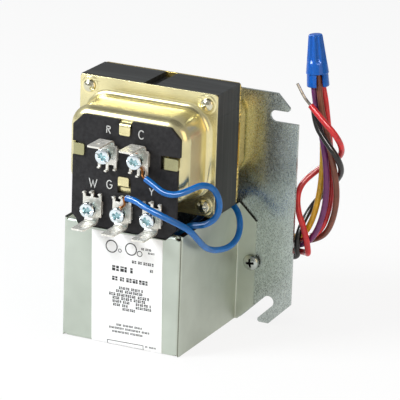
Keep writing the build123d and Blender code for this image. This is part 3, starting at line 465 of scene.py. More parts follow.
def all_finishes():
    """Every material by the record's slot name."""
    wires, metal = settings("wires"), settings("finish")
    made = {
        "galvanised_steel": galvanised_sheet(),
        "zinc_plate": zinc_sheet(),
        "bright_zinc": bright_metal("bright_zinc_plate", metal.screw, 0.2, "#b9d2d6"),
        "label_paper": paper("label_paper", metal.label),
        "varnished_core": laminations(),
        "yellow_chromate": yellow_chromate("yellow_chromated_steel", metal.chromate),
        "black_moulding": moulding("black_phenolic", "#181818"),
        "enamelled_copper": bright_metal("enamelled_copper_wire", "#a85c38", 0.35, "#8d4527"),
        "insulating_paper": paper("varnished_paper", "#c0a870"),
        "black_fibre": fibre_board(),
        "tin_plate": bright_metal("bright_tin_plate", metal.tin, 0.25, "#dcdbd3", 0.5),
        "spring_bronze": bright_metal("spring_bronze", "#b98a4e", 0.3, "#a87a40"),
        "contact_silver": bright_metal("contact_silver", "#dcdcd8", 0.25, "#c8c8c4"),
        "blue_nylon": moulding("blue_moulded_shell", wires.connector, 0.24),
        "bare_copper": bright_metal("bare_copper", "#bd7c45", 0.3, "#8f5730"),
        "tinned_copper": bright_metal("tinned_copper", "#cfcac4", 0.25, "#a9a49c"),
    }
    for colour in ("yellow", "purple", "red", "brown", "black", "blue"):
        made[colour + "_pvc"] = insulation(colour + "_insulation", getattr(wires, colour))
    return made


FINISHES = {}
# Widest gap that is welded, in metres, and the sharpest bend that is shaded smooth, in degrees
WELD_GAP, SMOOTH_BEND = 0.000002, 28


def weld_and_smooth():
    """Node group that welds a solid's loose triangles and shades it smooth across shallow edges."""
    tree = bpy.data.node_groups.new("weld_and_smooth", "GeometryNodeTree")
    for way in ("INPUT", "OUTPUT"):
        tree.interface.new_socket("Geometry", in_out=way, socket_type="NodeSocketGeometry")
    source = add_node(tree, "NodeGroupInput")
    welded = add_node(tree, "GeometryNodeMergeByDistance", {"Geometry": source, "Distance": WELD_GAP})
    smooth = add_node(tree, "GeometryNodeSetShadeSmooth", {"Geometry": welded}, domain="FACE")
    angle = add_node(tree, "GeometryNodeInputMeshEdgeAngle").outputs["Unsigned Angle"]
    shallow = add_node(tree, "FunctionNodeCompare", {
        "A": angle, "B": math.radians(SMOOTH_BEND)}, operation="LESS_THAN")
    edges = add_node(tree, "GeometryNodeSetShadeSmooth", {
        "Geometry": smooth, "Shade Smooth": shallow}, domain="EDGE")
    add_node(tree, "NodeGroupOutput", {"Geometry": edges})
    return tree


def smooth_bends(obj):
    """Welds a piece and shades it smooth across its bends."""
    modifier = obj.modifiers.new("weld_and_smooth", "NODES")
    modifier.node_group = bpy.data.node_groups["weld_and_smooth"]


# Punched and sheared pieces, with the width of their broken edges in millimetres
EDGES = {"mounting_plate": 0.2, "relay_cover": 0.14, "terminal_board": 0.16}
EDGES.update({"core_" + name + "_stack": 0.08 for name in "ei"})
EDGES.update({"terminal_" + name: 0.13 for name in "rcwgy"})


class FANCENTER_OT_finishes(bpy.types.Operator):
    """Makes the materials and gives every CAD node its own, shaded smooth across its bends"""
    bl_idname = "fan_center.finishes"
    bl_label = "Finishes"

    def execute(self, context):
        FINISHES.update(all_finishes())
        weld_and_smooth()
        for row in frame["record"]["subparts"]:
            node = NODES[row["node"]]
            node.data.materials.clear()
            node.data.materials.append(FINISHES[row["material_slot"]])
            smooth_bends(node)
        for name, width in EDGES.items():
            bevel(NODES[name], width)
        return {"FINISHED"}


# Wires

# The connector's foot and the leads' spacing in it, in millimetres, and the way it leans
NUT_FOOT, NUT_SPACING = np.array((60.65, 6.5, 58.1)), 2.05
NUT_AXES = np.array(Matrix.Rotation(math.radians(-6), 3, "Y") @ Matrix.Rotation(math.radians(35), 3, "Z"))

# The bush's middle and the leads' steps in it, in millimetres
BUSH = {"x": 17.5, "z": -19.3, "step_x": 1.5, "step_z": 3.1}


def in_nut(across, along, depth):
    """A point in the connector by its place across its axis, in lead spacings, and its depth."""
    return tuple(NUT_FOOT + NUT_AXES @ np.array((across * NUT_SPACING, along * NUT_SPACING, depth)))


def entry(column, row, y):
    """A point on a lead's straight way through the bush."""
    return BUSH["x"] + column * BUSH["step_x"], y, BUSH["z"] + row * BUSH["step_z"]


# Control points of each wire, in millimetres
ROUTES = {
    "yellow_lead": [
        entry(1, 1, -10.0), entry(1, 1, 7.0), (34.0, 7.6, -14.8), (48.0, 7.6, -15.2),
        (56.6, 8.0, -12.6), (60.8, 7.6, -4.0), (63.2, 7.8, 7.5), (64.0, 8.2, 20.0), (63.2, 8.8, 33.0),
        (62.2, 9.0, 46.0), in_nut(0, 1, -2.0), in_nut(0, 1, 6.0)],
    "purple_lead": [
        entry(1, 0, -10.0), entry(1, 0, 7.0), (34.0, 7.4, -18.3), (48.0, 7.6, -18.8),
        (58.3, 7.4, -16.6), (64.0, 6.4, -8.2), (67.1, 5.6, 3.0), (67.6, 5.2, 14.0), (66.4, 5.2, 26.0),
        (62.9, 6.2, 39.0), in_nut(-1, 0, -4.0), in_nut(-1, 0, 6.0)],
    "red_joined_lead": [
        entry(-1, 1, -10.0), entry(-1, 1, 10.0), (33.0, 10.5, -15.0), (48.0, 10.7, -15.6),
        (58.0, 10.6, -14.8), (64.3, 10.2, -9.0), (67.6, 9.8, 1.6), (68.6, 9.2, 14.0), (67.4, 8.4, 28.0),
        (65.8, 7.6, 41.0), in_nut(1.4, -0.2, -6.0), in_nut(1, 0, -0.5), in_nut(1, 0, 6.0)],
    "brown_lead": [
        entry(-1, 0, -10.0), entry(-1, 0, 10.0), (33.0, 10.6, -18.4), (47.0, 12.0, -18.6),
        (57.6, 13.2, -16.6), (65.6, 12.2, -12.0), (70.9, 7.8, -1.0), (72.5, 6.2, 11.0),
        (70.0, 5.0, 25.0), (67.0, 4.2, 36.5), (63.6, 4.2, 49.0), in_nut(0, -1, -1.0),
        in_nut(0, -1, 7.0)],
    "black_lead": [
        entry(1, -1, -10.0), entry(1, -1, 7.0), (33.0, 7.6, -23.4), (46.0, 8.2, -23.6),
        (54.6, 7.2, -23.4), (55.2, 3.4, -17.0), (55.2, 4.6, -10.2), (57.2, 10.8, -1.6),
        (61.8, 13.4, 5.8), (69.2, 13.2, 14.0), (73.8, 7.4, 20.8), (73.6, 1.0, 28.6), (67.2, 1.2, 35.4),
        (62.2, 1.4, 42.0), (60.7, 2.4, 49.3)],
    "red_lead": [
        entry(-1, -1, -10.0), entry(-1, -1, 10.0), (32.0, 11.6, -22.8), (46.0, 12.6, -22.2),
        (56.4, 11.6, -21.8), (60.8, 4.6, -20.0), (58.8, 3.5, -9.0), (54.2, 3.6, 1.4), (53.8, 6.2, 11.0),
        (60.4, 12.0, 18.2), (66.6, 12.8, 22.6), (72.0, 9.8, 27.0), (74.5, 3.6, 33.2),
        (72.6, -1.2, 40.0), (66.6, -1.7, 45.5), (60.7, -1.2, 51.0)],
    "blue_jumper_c": [
        (12.4, -65.0, 26.4), (16.8, -65.6, 24.4), (21.2, -65.6, 21.6), (26.4, -64.4, 21.0),
        (31.0, -60.2, 22.9), (34.8, -54.4, 24.8), (38.0, -49.2, 21.8), (39.9, -46.6, 14.4),
        (38.0, -46.6, 7.4), (32.6, -48.2, 3.7), (26.6, -49.6, 3.4), (20.6, -48.6, -1.6),
        (14.6, -45.0, -8.0), (8.6, -40.4, -13.4)],
    "blue_jumper_g": [
        (3.5, -64.8, 16.0), (8.2, -66.2, 16.3), (14.6, -69.6, 15.2), (21.6, -69.0, 12.6),
        (27.8, -64.8, 8.8), (32.0, -59.4, 4.4), (33.2, -52.4, -2.4), (33.4, -45.0, -7.8),
        (35.0, -36.6, -10.6), (37.2, -28.0, -10.8), (37.8, -21.0, -7.6), (36.2, -17.0, -1.2),
        (31.6, -13.4, 3.2), (25.4, -10.6, 3.4), (19.6, -10.0, -1.0), (13.0, -11.0, -6.4),
        (7.0, -9.4, -13.0)],
}

# Each wire's slot, measured length in millimetres, where it leaves the object and what ends it
WIRES = {
    "yellow_lead": ("yellow_pvc", 129.9, entry(1, 1, 0.0), "connector", "wire_nut"),
    "purple_lead": ("purple_pvc", 136.9, entry(1, 0, 0.0), "connector", "wire_nut"),
    "red_joined_lead": ("red_pvc", 141.3, entry(-1, 1, 0.0), "connector", "wire_nut"),
    "brown_lead": ("brown_pvc", 148.2, entry(-1, 0, 0.0), "connector", "wire_nut"),
    "black_lead": ("black_pvc", 137.7, entry(1, -1, 0.0), "bare", None),
    "red_lead": ("red_pvc", 155.9, entry(-1, -1, 0.0), "bare", "red_lead_conductor"),
    "blue_jumper_c": ("blue_pvc", 89.1, ROUTES["blue_jumper_c"][0], "object", None),
    "blue_jumper_g": ("blue_pvc", 125.9, ROUTES["blue_jumper_g"][0], "object", None),
}


def spline_wire(name, route, diameter, material):
    """A round wire on one smooth spline with the route's points, in millimetres, as its control points."""
    curve = bpy.data.curves.new(name, "CURVE")
    curve.dimensions = "3D"
    spline = curve.splines.new("NURBS")
    spline.points.add(len(route) - 1)
    points = np.column_stack([np.array(route, float) * MM, np.ones(len(route))])
    spline.points.foreach_set("co", points.ravel())
    spline.order_u = 3
    spline.use_endpoint_u = True
    spline.resolution_u = 12
    curve.bevel_depth = diameter / 2
    curve.bevel_resolution = 6
    curve.use_fill_caps = True
    curve.materials.append(material)
    obj = new_object(name, curve)
    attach(obj, BODY)
    return obj


class FANCENTER_OT_wires(bpy.types.Operator):
    """Lays the six leads and the two jumpers along their routes"""
    bl_idname = "fan_center.wires"
    bl_label = "Wires"

    def execute(self, context):
        wires = settings("wires")
        for node, (slot, length, leaves, far_end, carried) in WIRES.items():
            diameter = wires.jumper_diameter if node.startswith("blue") else wires.lead_diameter
            wire = spline_wire(node + "_insulation", ROUTES[node], diameter, FINISHES[slot])
            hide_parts(node)
        return {"FINISHED"}


# Pressed covers

def rounded_outline(half_x, half_z, corner, arc=26, side=34):
    """Points of a rounded rectangle, the same number on each side and corner, anticlockwise in X and Z."""
    steps = np.linspace(0, np.pi / 2, arc)
    corners = []
    for index, (sign_x, sign_z) in enumerate(((1, 1), (-1, 1), (-1, -1), (1, -1))):
        angle = steps + index * np.pi / 2
        middle = np.array((sign_x * (half_x - corner), sign_z * (half_z - corner)))
        corners.append(middle + corner * np.column_stack([np.cos(angle), np.sin(angle)]))
    share = np.linspace(0, 1, side + 2)[1:-1, None]
    runs = []
    for one, two in zip(corners, corners[1:] + corners[:1]):
        runs += [one, one[-1] + (two[0] - one[-1]) * share]
    return np.concatenate(runs)


# Pressings in millimetres: sheet, rounds, draft, how far in the dome and the rivets lie, and rivet pads
BELL = {"sheet": 0.9, "corner": 10.5, "draft": math.radians(2.0), "base_round": 2.6, "flange_corner": 1.3,
        "window_corner": 2.0, "ledge": 7.6, "rivet_x": 4.75, "rivet_z": 4.7, "pad": (4.3, 3.7, 0.25)}
# Each bell's end round and side ledge, with the half width, half height and rise of the front one's window
FRONT_BELL, REAR_BELL = (4.6, 4.05, (17.3, 9.5, 0.7)), (2.2, 2.4, None)
# Bent tabs in millimetres: width, outer bend, round of the tips, places and reaches
TAB = {"width": 5.2, "bend": 2.05, "tip": 0.8, "top_drop": 4.9, "top_reach": 5.2, "middle_drop": 13.4,
       "middle_reach": 4.7, "side_rise": 0.7, "left_reach": 6.05, "right_x": 18.3, "right_tip": 26.0}


def bell_profile(depth, nose):
    """Offsets inwards and heights along a bell's wall: base fillet, drafted wall, nose fillet."""
    sheet, draft, foot = BELL["sheet"], BELL["draft"], BELL["base_round"]
    low = sheet + foot * (1 - math.sin(draft))
    foot_middle = np.array((low * math.tan(draft) - foot * math.cos(draft), sheet + foot))
    turn = np.linspace(-np.pi / 2, -draft, 8)[:, None]
    base = foot_middle + foot * np.hstack([np.cos(turn), np.sin(turn)])
    high = depth - nose * (1 - math.sin(draft))
    nose_middle = np.array((high * math.tan(draft) + nose * math.cos(draft), depth - nose))
    turn = np.linspace(np.pi - draft, np.pi / 2, 10)[:, None]
    front = nose_middle + nose * np.hstack([np.cos(turn), np.sin(turn)])
    return np.concatenate([base, front])


def bell_shell(depth, nose, half_x, half_z, flange_x, flange_z, rivets, window=None):
    """Outer skin of a bell as rings from the flange's edge to its flat end: each ring is a rounded
    rectangle drawn in by the profile's offset, and the flange rises to a coined pad round each rivet."""
    sheet, corner = BELL["sheet"], BELL["corner"]
    profile = bell_profile(depth, nose)
    rim = rounded_outline(flange_x, flange_z, BELL["flange_corner"])
    foot = rounded_outline(half_x - profile[0, 0], half_z - profile[0, 0], corner - profile[0, 0])
    level = np.full(len(rim), sheet)
    rings = [np.column_stack([rim + (foot - rim) * share, level]) for share in np.linspace(0, 0.96, 34)]
    for inset, height in profile:
        outline = rounded_outline(half_x - inset, half_z - inset, corner - inset)
        rings.append(np.column_stack([outline, np.full(len(outline), height)]))
    last = rings[-1]
    if window is None:
        inner = last * (0, 0, 1)
    else:
        half_window_x, half_window_z, shift = window
        hole = rounded_outline(half_window_x, half_window_z, BELL["window_corner"]) + (0, shift)
        inner = np.column_stack([hole, last[:, 2]])
    for share in (0.25, 0.5, 0.75, 1.0):
        rings.append(last + (inner - last) * share)
    points = np.array(rings)
    away = np.min([np.hypot(points[..., 0] - x, points[..., 1] - z) for x, z in rivets], axis=0)
    foot_radius, top_radius, rise = BELL["pad"]
    pad = sheet + rise * smoothstep(foot_radius, top_radius, away)
    points[..., 2] = np.maximum(points[..., 2], np.where(points[..., 2] < sheet + 1, pad, 0))
    return points.reshape(-1, 3), grid_faces(len(rings), len(rim))


def strip(path, normal, width, sheet=BELL["sheet"], tip=TAB["tip"]):
    """A bent strip: a path of points, thickened to one side by the sheet and carried along its width,
    which draws in over a quarter circle at the tip's two corners."""
    path = np.array(path, float)
    runs = np.diff(path, axis=0)
    lengths = np.linalg.norm(runs, axis=1)
    ways = runs / lengths[:, None]
    sides = np.cross(normal, ways)
    corner = np.concatenate([sides[:1], sides[:-1] + sides[1:], sides[-1:]])
    corner /= np.linalg.norm(corner, axis=1)[:, None]
    stretch = np.concatenate([[1], 1 / np.maximum(np.sum(corner[1:-1] * sides[1:], axis=1), 0.4), [1]])
    back = path + corner * (sheet * stretch)[:, None]
    loop = np.concatenate([path, back[::-1]])
    to_tip = np.append(np.cumsum(lengths[::-1])[::-1], 0)
    short = np.clip(tip - to_tip, 0, tip)
    half = width / 2 - tip + np.sqrt(tip ** 2 - short ** 2)
    half = np.concatenate([half, half[::-1]])[:, None] * np.array(normal, float)
    points = np.concatenate([loop - half, loop + half])
    count = len(loop)
    sides_faces = grid_faces(2, count)
    ends = []
    for first in (0, count):
        quads = [[first + i, first + i + 1, first + count - 2 - i, first + count - 1 - i]
                 for i in range(len(path) - 1)]
        ends += quads if first else [quad[::-1] for quad in quads]
    return points, sides_faces + ends


def bent(root, bend, tip, radius):
    """Three points with the middle one rounded into an arc of a radius, and close steps before the tip."""
    root, bend, tip = (np.array(point, float) for point in (root, bend, tip))
    to_root = (root - bend) / np.linalg.norm(root - bend)
    to_tip = (tip - bend) / np.linalg.norm(tip - bend)
    turn = np.linspace(0, np.pi / 2, 12)[:, None]
    middle = bend + radius * (to_root + to_tip)
    arc = middle - radius * (to_tip * np.cos(turn) + to_root * np.sin(turn))
    return np.concatenate([[root], arc, tip - TAB["tip"] * to_tip * (1 - np.sin(turn[::2])), [tip]])


class FANCENTER_OT_bells(bpy.types.Operator):
    """Builds the two drawn end covers and the front one's bent tabs"""
    bl_idname = "fan_center.bells"
    bl_label = "End bells"

    def execute(self, context):
        core_low, _ = box_mm("core_e_stack")
        _, core_high = box_mm("core_i_stack")
        middle_z = (core_low[2] + core_high[2]) / 2
        flange_x, flange_z = core_high[0], (core_high[2] - core_low[2]) / 2
        half_z = flange_z - BELL["ledge"]
        rivet_x, rivet_z = flange_x - BELL["rivet_x"], flange_z - BELL["rivet_z"]
        rivets = [(side * rivet_x, level * rivet_z) for side in (-1, 1) for level in (-1, 1)]
        # Painted reflection: the rear bell takes the deeper gold copy of the chromate.
        gold = yellow_chromate("chromated_steel_painted_reflection", settings("finish").gold)
        _, board_high = box_mm("terminal_board")
        yellow = FINISHES["yellow_chromate"]
        rear_depth = box_mm("rear_bell")[1][1] - core_high[1]
        places = {"front_bell": (core_low[1], -1, core_low[1] - board_high[1], *FRONT_BELL, yellow),
                  "rear_bell": (core_high[1], 1, rear_depth, *REAR_BELL, gold)}
        for node, (seat, way, depth, nose, step, window, chromate) in places.items():
            half_x = flange_x - step
            points, faces = bell_shell(depth, nose, half_x, half_z, flange_x, flange_z, rivets, window)
            placed = np.column_stack([points[:, 0], seat + way * points[:, 2], middle_z + points[:, 1]])
            faces = faces if way < 0 else [face[::-1] for face in faces]
            shell = mesh_piece(node + "_pressing", placed, faces, chromate)
            wall = shell.modifiers.new("sheet", "SOLIDIFY")
            wall.thickness = BELL["sheet"] * MM
            wall.offset = -1
            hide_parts(node)
        self.tabs(middle_z, half_z)
        return {"FINISHED"}

    def tabs(self, middle_z, half_z):
        """Four tabs, each from behind the board, round its edge and flat on its face; the two at the
        sides take a darker copy of the chromate, a painted reflection of the darker things that they mirror."""
        low, high = box_mm("terminal_board")
        sheet = BELL["sheet"]
        front, back = low[1] - sheet, high[1] + sheet
        top = middle_z + half_z - TAB["top_drop"]
        middle = middle_z - TAB["middle_drop"]
        side = middle_z + TAB["side_rise"]
        half, turn, width = sheet / 2, TAB["bend"], TAB["width"]
        upright, level = [], []
        for z, tip, normal in ((top + half, top - TAB["top_reach"], (1, 0, 0)),
                               (middle - half, middle + TAB["middle_reach"], (-1, 0, 0))):
            upright.append(strip(bent((0, back, z), (0, front, z), (0, front, tip), turn), normal, width))
        for x, tip in ((low[0], low[0] + TAB["left_reach"]), (TAB["right_x"], TAB["right_tip"])):
            path = bent((x, back, side), (x, front, side), (tip, front, side), turn)
            level.append(strip(path, (0, 0, 1), width))
        # Painted reflection: the side tabs take the darker copy of the chromate.
        side_tab_shade = yellow_chromate("chromated_steel_painted_shade", settings("finish").side_tab_shade)
        for name, made, chromate in (("front_bell_tabs", upright, FINISHES["yellow_chromate"]),
                                     ("front_bell_side_tabs", level, side_tab_shade)):
            points, faces = gather(made)
            tabs = mesh_piece(name, points, faces, chromate)
            smooth_bends(tabs)
            bevel(tabs, 0.25, 3, 50)


# Fasteners

# Heads and threaded shanks in millimetres; a recess is its length, width and depth
RIVET_HEAD = {"radius": 2.9, "height": 1.9, "crown": 0.7, "edge": 0.9}
COVER_HEAD = {"radius": 3.65, "height": 2.4, "crown": 0.6, "edge": 0.9, "recess": (3.8, 0.9, 1.1)}
COVER_THREAD = {"radius": 2.0, "length": 6.5, "pitch": 0.8}
TERMINAL_HEAD = {"radius": 3.45, "height": 2.2, "crown": 0.25, "edge": 0.5, "recess": (3.6, 0.9, 1.1),
                 "slotted": True}
TERMINAL_THREAD = {"radius": 1.7, "length": 9.6, "pitch": 0.8}
RIVET_SHANK, SLOT_HALF, SLOT_DEPTH, SOFT_EDGE, THREAD_DEPTH = 2.0, 0.45, 0.8, 0.12, 0.22
# From a terminal's push-on end to its screw
SCREW_PLACE = 6.9


def capped(rings, downwards=False):
    """Points and faces of a grid of rings, with a face that closes the last ring."""
    rows, columns = rings.shape[:2]
    faces = grid_faces(rows, columns)
    if downwards:
        faces = [face[::-1] for face in faces]
    return rings.reshape(-1, 3), faces + [list(range((rows - 1) * columns, rows * columns))]


def head(radius, height, crown, edge, recess=None, slotted=False, turn=0.0):
    """A screw or rivet head as rings from its seat to its middle: a crowned disc with a rounded edge,
    less a cross recess and a slot whose depth falls off over a tenth of a millimetre at their sides."""
    around = np.linspace(0, 2 * np.pi, 128, endpoint=False)
    rise = np.linspace(0, np.pi / 2, 9)
    wall = np.column_stack([np.full(3, radius), np.linspace(0, height - crown - edge, 3)])
    lip = np.column_stack([radius - edge + edge * np.cos(rise), height - crown - edge + edge * np.sin(rise)])
    spans = np.linspace(1, 0.02, 44)
    top = np.column_stack([(radius - edge) * spans, height - crown * spans ** 2])
    rings = np.concatenate([wall, lip, top[1:]])
    x = rings[:, :1] * np.cos(around)
    y = rings[:, :1] * np.sin(around)
    z = np.repeat(rings[:, 1:], len(around), axis=1)
    if recess:
        length, width, depth = recess
        spun_x = x * math.cos(turn) + y * math.sin(turn)
        spun_y = y * math.cos(turn) - x * math.sin(turn)
        across, along = np.abs(spun_x), np.abs(spun_y)
        arms = [smoothstep(width / 2 + SOFT_EDGE, width / 2, over) *
                smoothstep(length / 2 + SOFT_EDGE, length / 2, out)
                for over, out in ((across, along), (along, across))]
        z = z - depth * np.maximum(*arms)
        if slotted:
            slot_across = np.abs(spun_x + spun_y) / math.sqrt(2)
            shallow = np.minimum(z, height - SLOT_DEPTH)
            keep = smoothstep(SLOT_HALF, SLOT_HALF + SOFT_EDGE, slot_across)
            z = np.where(z > shallow, z * keep + shallow * (1 - keep), z)
    return capped(np.stack([x, y, z], axis=-1))


def shank(radius, length):
    """A plain round shank under a head, closed at its foot."""
    around = np.linspace(0, 2 * np.pi, 32, endpoint=False)
    ring = np.column_stack([np.cos(around), np.sin(around)])
    rows = [np.column_stack([ring * size, np.full(len(ring), height)]) for size, height in (
        (radius, 0.0), (radius, 0.5 - length), (radius - 0.4, -length))]
    return capped(np.array(rows), downwards=True)


def thread(radius, length, pitch):
    """A threaded shank: rings whose radius rises and falls once a pitch, turned with the height."""
    around = np.linspace(0, 2 * np.pi, 36, endpoint=False)
    heights = -np.arange(0, length, pitch / 6)
    phase = heights[:, None] / pitch + around / (2 * np.pi)
    reach = radius - THREAD_DEPTH + THREAD_DEPTH * np.cos(2 * np.pi * phase)
    height = np.repeat(heights[:, None], len(around), axis=1)
    rings = np.stack([reach * np.cos(around), reach * np.sin(around), height], axis=-1)
    return capped(rings, downwards=True)


def facing(points, place, way):
    """Points with their own Z turned to face -Y (way -1) or +Y (way 1) at a place."""
    return np.column_stack([points[:, 0] * -way, points[:, 2] * way, points[:, 1]]) + place


class FANCENTER_OT_fasteners(bpy.types.Operator):
    """Builds the rivets and the two kinds of screw with their recesses"""
    bl_idname = "fan_center.fasteners"
    bl_label = "Fasteners"

    def execute(self, context):
        kinds = {"core_rivets": (self.rivets, "#dbd7bd", "#dbd7bd"),
                 # Painted shade: the cover screws' cross recesses are painted near black.
                 "cover_screws": (self.cover_screws, "#b2b8b1", "#161717"),
                 "terminal_screws": (self.terminal_screws, settings("finish").screw, "#a6cad0")}
        for node, (build, base, deep) in kinds.items():
            made, middles = build()
            points, faces = gather(made)
            zinc = recessed_metal(node + "_zinc", base, deep, box_mm(node)[0][1], middles)
            obj = mesh_piece(node + "_heads", points, faces, zinc)
            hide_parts(node)
        return {"FINISHED"}

    def rivets(self):
        """Domed heads on both ends of four plain shanks."""
        low, high = box_mm("core_rivets")
        radius, height = RIVET_HEAD["radius"], RIVET_HEAD["height"]
        middles = [(x, z) for x in (low[0] + radius, high[0] - radius)
                   for z in (low[2] + radius, high[2] - radius)]
        dome, dome_faces = head(**RIVET_HEAD)
        bar, bar_faces = shank(RIVET_SHANK, high[1] - low[1] - 2 * height)
        made = []
        for x, z in middles:
            front, back = (x, low[1] + height, z), (x, high[1] - height, z)
            made += [(facing(dome, front, -1), dome_faces), (facing(dome, back, 1), dome_faces),
                     (facing(bar, front, -1), bar_faces)]
        return made, middles

    def cover_screws(self):
        """Pan heads with a cross recess on threaded shanks."""
        low, high = box_mm("cover_screws")
        radius, z = COVER_HEAD["radius"], (low[2] + high[2]) / 2
        middles = [(low[0] + radius, z), (high[0] - radius, z)]
        made = []
        for (x, _), turn in zip(middles, (0.7, 0.12)):
            seat = (x, low[1] + COVER_HEAD["height"], z)
            for points, faces in (head(**COVER_HEAD, turn=turn), thread(**COVER_THREAD)):
                made.append((facing(points, seat, -1), faces))
        return made, middles

    def terminal_screws(self):
        """Flat heads with a slot across a cross recess, each turned its own way."""
        low, _ = box_mm("terminal_screws")
        turns = {"r": 0.2, "c": 0.6, "w": 0.9, "g": 1.2, "y": 0.4}
        made, middles = [], []
        for name, turn in turns.items():
            terminal_low, terminal_high = box_mm("terminal_" + name)
            x = (terminal_low[0] + terminal_high[0]) / 2
            z = terminal_high[2] - SCREW_PLACE if name in "rc" else terminal_low[2] + SCREW_PLACE
            middles.append((x, z))
            seat = (x, low[1] + TERMINAL_HEAD["height"], z)
            for points, faces in (head(**TERMINAL_HEAD, turn=turn), thread(**TERMINAL_THREAD)):
                made.append((facing(points, seat, -1), faces))
        return made, middles


# Connector

# In millimetres: the collar's height, the cone's foot radius, loss of radius and length, the flutes' number,
# radius, half widths, run-in and depth, and the skirt's radius and its slot's half widths
NUT = {"collar": 5.8, "foot": 5.1, "taper": 2.0, "cone": 17.4, "flutes": 8, "flute_radius": 4.0,
       "flute": (1.4, 0.1), "run_in": (10.2, 12.6), "flute_depth": 0.7, "skirt": 4.75, "slot": (1.75, 1.6)}


class FANCENTER_OT_connector(bpy.types.Operator):
    """Builds the twist-on connector: slotted skirt, plain collar and fluted cone"""
    bl_idname = "fan_center.connector"
    bl_label = "Connector"

    def execute(self, context):
        points, faces = self.shell()
        placed = NUT_FOOT + points @ NUT_AXES.T
        shell = mesh_piece("wire_nut_shell", placed, faces, FINISHES["blue_nylon"])
        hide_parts("wire_nut")
        return {"FINISHED"}

    def shell(self):
        """Rings up the outside and down the bore; flutes sink into the cone above the collar with a
        rounded foot, and the skirt's front rings rise to the collar where the slot is."""
        around = np.linspace(0, 2 * np.pi, 192, endpoint=False)
        collar, foot, slope = NUT["collar"], NUT["foot"], NUT["taper"] / NUT["cone"]
        outer = [(0.0, 4.7), (0.0, 4.92), (0.25, 5.0), (1.5, 4.95), (3.0, 4.88), (4.5, 4.81), (5.6, 4.76),
                 (collar, NUT["skirt"]), (collar, 5.02), (6.05, foot)]
        outer += [(height, foot - slope * (height - collar)) for height in np.linspace(6.4, 22.5, 46)]
        outer += [(22.8, 3.1), (23.05, 2.93), (23.2, 2.65), (23.2, 1.2), (23.1, 0.05)]
        inner = [(8.9, 0.05), (9.0, 3.2), (8.8, 3.6), (6.0, 3.6), (3.0, 3.6), (0.3, 3.65), (0.0, 3.9)]
        rings = np.array(inner + outer)
        height = np.repeat(rings[:, :1], len(around), axis=1)
        radius = np.repeat(rings[:, 1:], len(around), axis=1)
        fold = 2 * np.pi / NUT["flutes"]
        off = np.abs((around + fold / 2) % fold - fold / 2) * NUT["flute_radius"]
        flute = NUT["flute_depth"] * smoothstep(*NUT["flute"], off) * smoothstep(*NUT["run_in"], height)
        is_outer = (np.arange(len(rings)) >= len(inner))[:, None]
        on_cone = is_outer & (height < 22.9) & (radius > 3.0)
        radius = radius - np.where(on_cone, flute, 0)
        gap = np.abs((around + np.pi / 2 + np.pi) % (2 * np.pi) - np.pi) * NUT["skirt"]
        slot = smoothstep(*NUT["slot"], gap)
        on_skirt = (height < collar) & (radius > 3.3)
        height = np.where(on_skirt, height + (collar - height) * slot, height)
        points = np.stack([radius * np.cos(around), radius * np.sin(around), height], axis=-1)
        return points.reshape(-1, 3), grid_faces(len(rings), len(around))


# Print

def arc(middle, reach, start, stop, count=14):
    """Points round an ellipse between two angles in degrees."""
    turn = np.radians(np.linspace(start, stop, count))
    return [(middle[0] + reach[0] * np.cos(step), middle[1] + reach[1] * np.sin(step)) for step in turn]


# Height of the terminal letters, and width and thickness of their strokes, in millimetres
LETTER_HEIGHT, STROKE_WIDTH, STROKE_RISE = 3.3, 0.42, 0.03
# Each letter's middle on the board and its width, in millimetres, and its strokes in a unit box
LETTERS = {
    "r": ((-8.14, 44.15), 2.2, [
        [(0.0, 0.0), (0.0, 1.0)], [(0.5, 0.5), (1.0, 0.0)],
        [(0.0, 1.0), (0.5, 1.0), *arc((0.55, 0.75), (0.4, 0.25), 80, -80), (0.5, 0.5), (0.0, 0.5)]]),
    "c": ((7.71, 44.19), 2.15, [arc((0.5, 0.5), (0.5, 0.5), 42, 318)]),
    "w": ((-15.11, 19.11), 3.4, [[(0.0, 1.0), (0.25, 0.0), (0.5, 0.9), (0.75, 0.0), (1.0, 1.0)]]),
    "g": ((-7.09, 19.36), 2.2, [[*arc((0.5, 0.5), (0.5, 0.5), 42, 350), (0.98, 0.42), (0.55, 0.42)]]),
    "y": ((13.57, 19.46), 2.3, [[(0.0, 1.0), (0.5, 0.45), (0.5, 0.0)], [(1.0, 1.0), (0.5, 0.45)]]),
}


class FANCENTER_OT_lettering(bpy.types.Operator):
    """Prints the terminal letters on the board"""
    bl_idname = "fan_center.lettering"
    bl_label = "Lettering"

    def execute(self, context):
        front = box_mm("terminal_board")[0][1] - 0.01
        ink = paper("white_ink", settings("finish").letters)
        for letter, ((x, z), width, strokes) in LETTERS.items():
            made = []
            for stroke in strokes:
                path = [(x + (across - 0.5) * width, front, z + (up - 0.5) * LETTER_HEIGHT)
                        for across, up in stroke]
                made.append(strip(path, (0, 1, 0), STROKE_RISE, STROKE_WIDTH, 0.0))
            points, faces = gather(made)
            obj = mesh_piece("board_letter_" + letter, points, faces, ink, smooth=False)
        return {"FINISHED"}


# The label in millimetres: middle, half width, ends of its flat and bent part, thickness, turn, and the fold
LABEL = {"x": 3.0, "z": -27.0, "half_width": 17.25, "flat": (25.2, -25.0), "bent": (-25.4, -27.5),
         "thickness": 0.15, "turn": math.radians(1.2), "fold": 1.6}
# From the cover to the ink's lower and upper face
INK = (0.1, 0.17)
